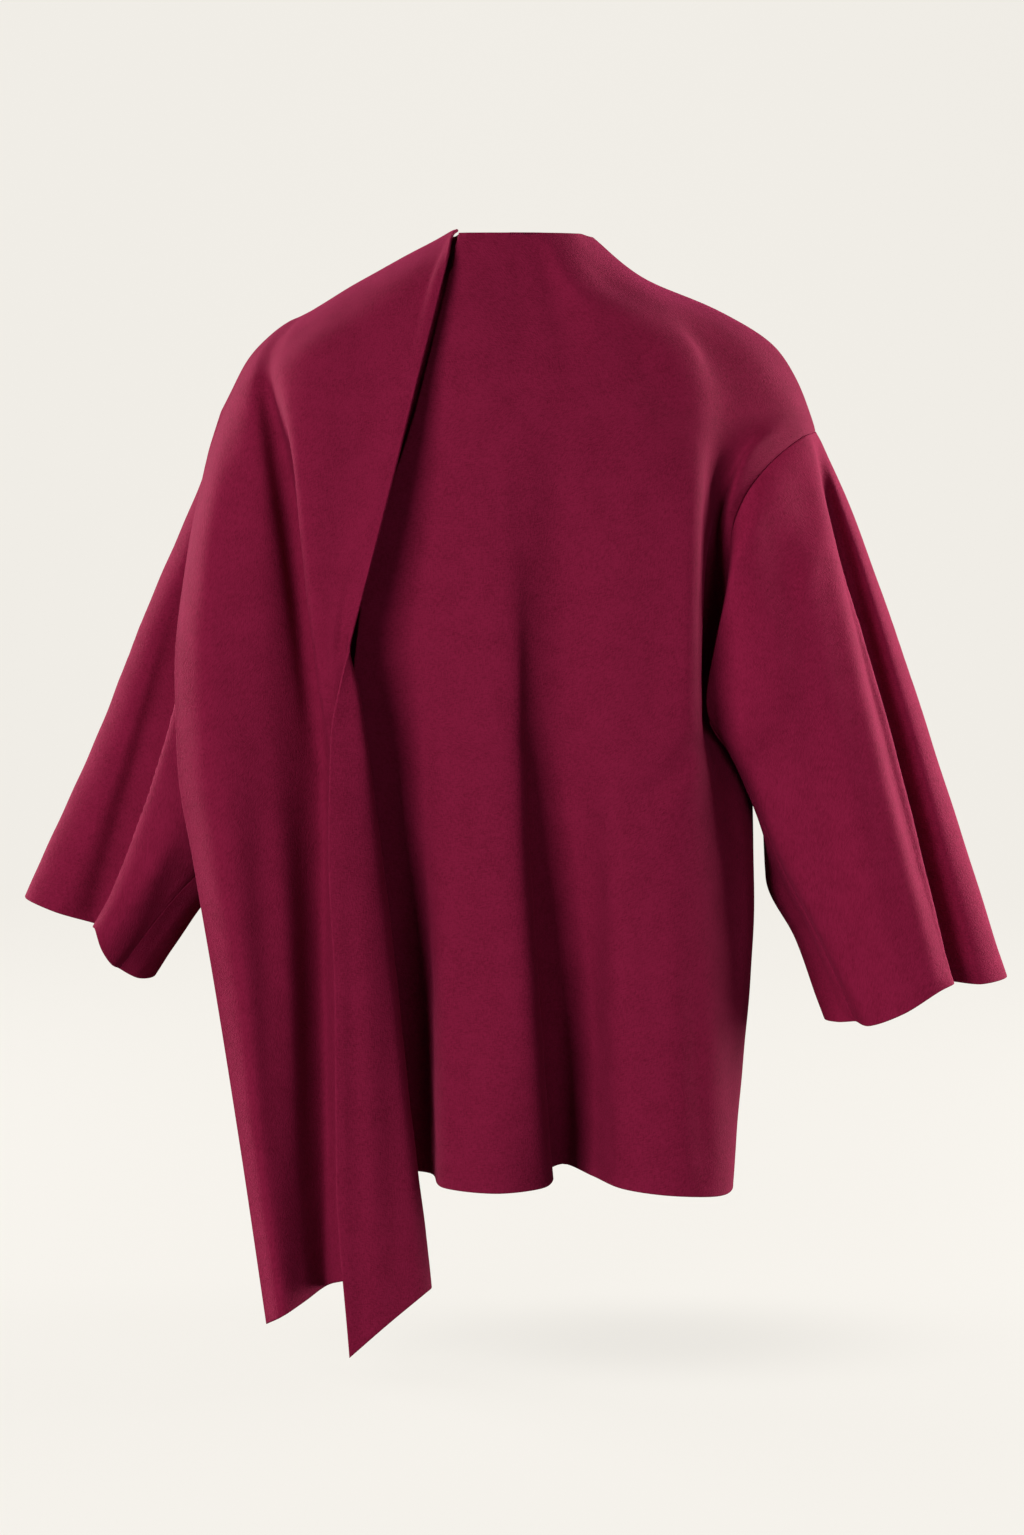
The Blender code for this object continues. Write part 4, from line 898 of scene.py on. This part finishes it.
studio = {
    "floorHeight": -0.888,
    "floorColour": (0.04, 0.039, 0.037),
    "floorGlow": (0.842, 0.816, 0.764),
    "floorWidth": 18,
    "floorFront": -6,       # how far the floor runs towards the camera and to the foot of the wall
    "wallFoot": 2.2,
    "wallCurve": 1.6,
    "wallSteps": 16,
    "wallHeight": 7,
    "paintedFloorShade": 0.90,     # how much light is left in the painted shadow below the garment
    "paintedShadeCentre": (0.10, -0.06),
    "paintedShadeReach": (0.34, 0.17),
    "worldColour": (1.0, 0.975, 0.94),
    "worldStrength": 0.08,
    "cameraPlace": (-0.0136, -2.7, -0.08),
    "cameraAim": (-0.0136, 0, -0.406),
    "lens": 75.0,
}

# Soft lights: name, place, the point aimed at, size and watts
softLights = (
    ("keyLeft", (-3.3, -5.1, 0.35), (0, 0, -0.45), (2.6, 3.4), 455),
    ("fillRight", (1.6, -3.6, -0.3), (0, 0, -0.5), (1.8, 2.2), 40),
    ("rimLeft", (-2.0, 0.9, -0.3), (0, 0, -0.45), (0.9, 2.4), 130),
    ("rimRight", (2.1, 0.7, -0.3), (0, 0, -0.45), (0.9, 2.4), 190),
)


def floorMaterial():
    material = bpy.data.materials.new("paleFloor")
    material.use_nodes = True
    tree = material.node_tree
    shader = tree.nodes["Principled BSDF"]
    for socket, value in (
            ("Base Color", (*studio["floorColour"], 1)), ("Roughness", 0.95), ("Specular IOR Level", 0.1),
            ("Emission Color", (*studio["floorGlow"], 1))):
        shader.inputs[socket].default_value = value
    # the backdrop is evenly pale to the camera without lighting the cloth
    path = node(tree, "ShaderNodeLightPath", -500, -200)
    glow = node(tree, "ShaderNodeMath", -250, -200, operation="MULTIPLY")
    # faint soft shadow painted into the floor's glow under the longer tail and the hem
    (x, y), (wide, deep) = studio["paintedShadeCentre"], studio["paintedShadeReach"]
    place = node(tree, "ShaderNodeTexCoord", -1250, -400)
    spread = node(tree, "ShaderNodeMapping", -1050, -400,
                  {"Location": (-x / wide, -y / deep, 0), "Scale": (1 / wide, 1 / deep, 0)})
    reach = node(tree, "ShaderNodeVectorMath", -850, -400, operation="LENGTH")
    shade = node(tree, "ShaderNodeMapRange", -650, -400, {"To Min": studio["paintedFloorShade"]},
                 interpolation_type="SMOOTHERSTEP")
    joinUp(
        tree,
        (place, "Object", spread, "Vector"),
        (spread, "Vector", reach, 0),
        (reach, "Value", shade, "Value"),
        (shade, "Result", glow, 1),
        (path, "Is Camera Ray", glow, 0),
        (glow, "Value", shader, "Emission Strength"),
    )
    return material


def sweep():
    # floor that curves up into a wall far behind
    foot, curve, steps = studio["wallFoot"], studio["wallCurve"], studio["wallSteps"]
    profile = [(studio["floorFront"], 0), (foot, 0)]
    for step in range(1, steps + 1):
        angle = math.pi / 2 * step / steps
        profile.append((foot + curve * math.sin(angle), curve - curve * math.cos(angle)))
    profile.append((foot + curve, studio["wallHeight"]))
    half = studio["floorWidth"] / 2
    points = [(x, y, studio["floorHeight"] + z) for y, z in profile for x in (-half, half)]
    faces = [(2 * i, 2 * i + 1, 2 * i + 3, 2 * i + 2) for i in range(len(profile) - 1)]
    mesh = bpy.data.meshes.new("studioFloor")
    mesh.from_pydata(points, [], faces)
    mesh.shade_smooth()
    mesh.materials.append(floorMaterial())
    floor = bpy.data.objects.new("studio_floor", mesh)
    bpy.context.scene.collection.objects.link(floor)


def aimed(name, data, place, aim):
    # a light or camera at its place, turned to what it looks at
    made = bpy.data.objects.new(name, data)
    made.location = place
    towards = mathutils.Vector(aim) - mathutils.Vector(place)
    made.rotation_euler = towards.to_track_quat("-Z", "Y").to_euler()
    bpy.context.scene.collection.objects.link(made)
    return made


print("cape jacket: studio")
sweep()
for name, place, aim, size, watts in softLights:
    light = bpy.data.lights.new(name, "AREA")
    light.shape = "RECTANGLE"
    light.size, light.size_y = size
    light.energy = watts
    aimed(name, light, place, aim)

world = bpy.data.worlds.new("studioWorld")
world.use_nodes = True
world.node_tree.nodes["Background"].inputs["Color"].default_value = (*studio["worldColour"], 1)
world.node_tree.nodes["Background"].inputs["Strength"].default_value = studio["worldStrength"]
scene = bpy.context.scene
scene.world = world
scene.view_settings.view_transform = "Standard"

lens = bpy.data.cameras.new("photoCamera")
lens.lens = studio["lens"]
scene.camera = aimed("photoCamera", lens, studio["cameraPlace"], studio["cameraAim"])

print("cape jacket: done")
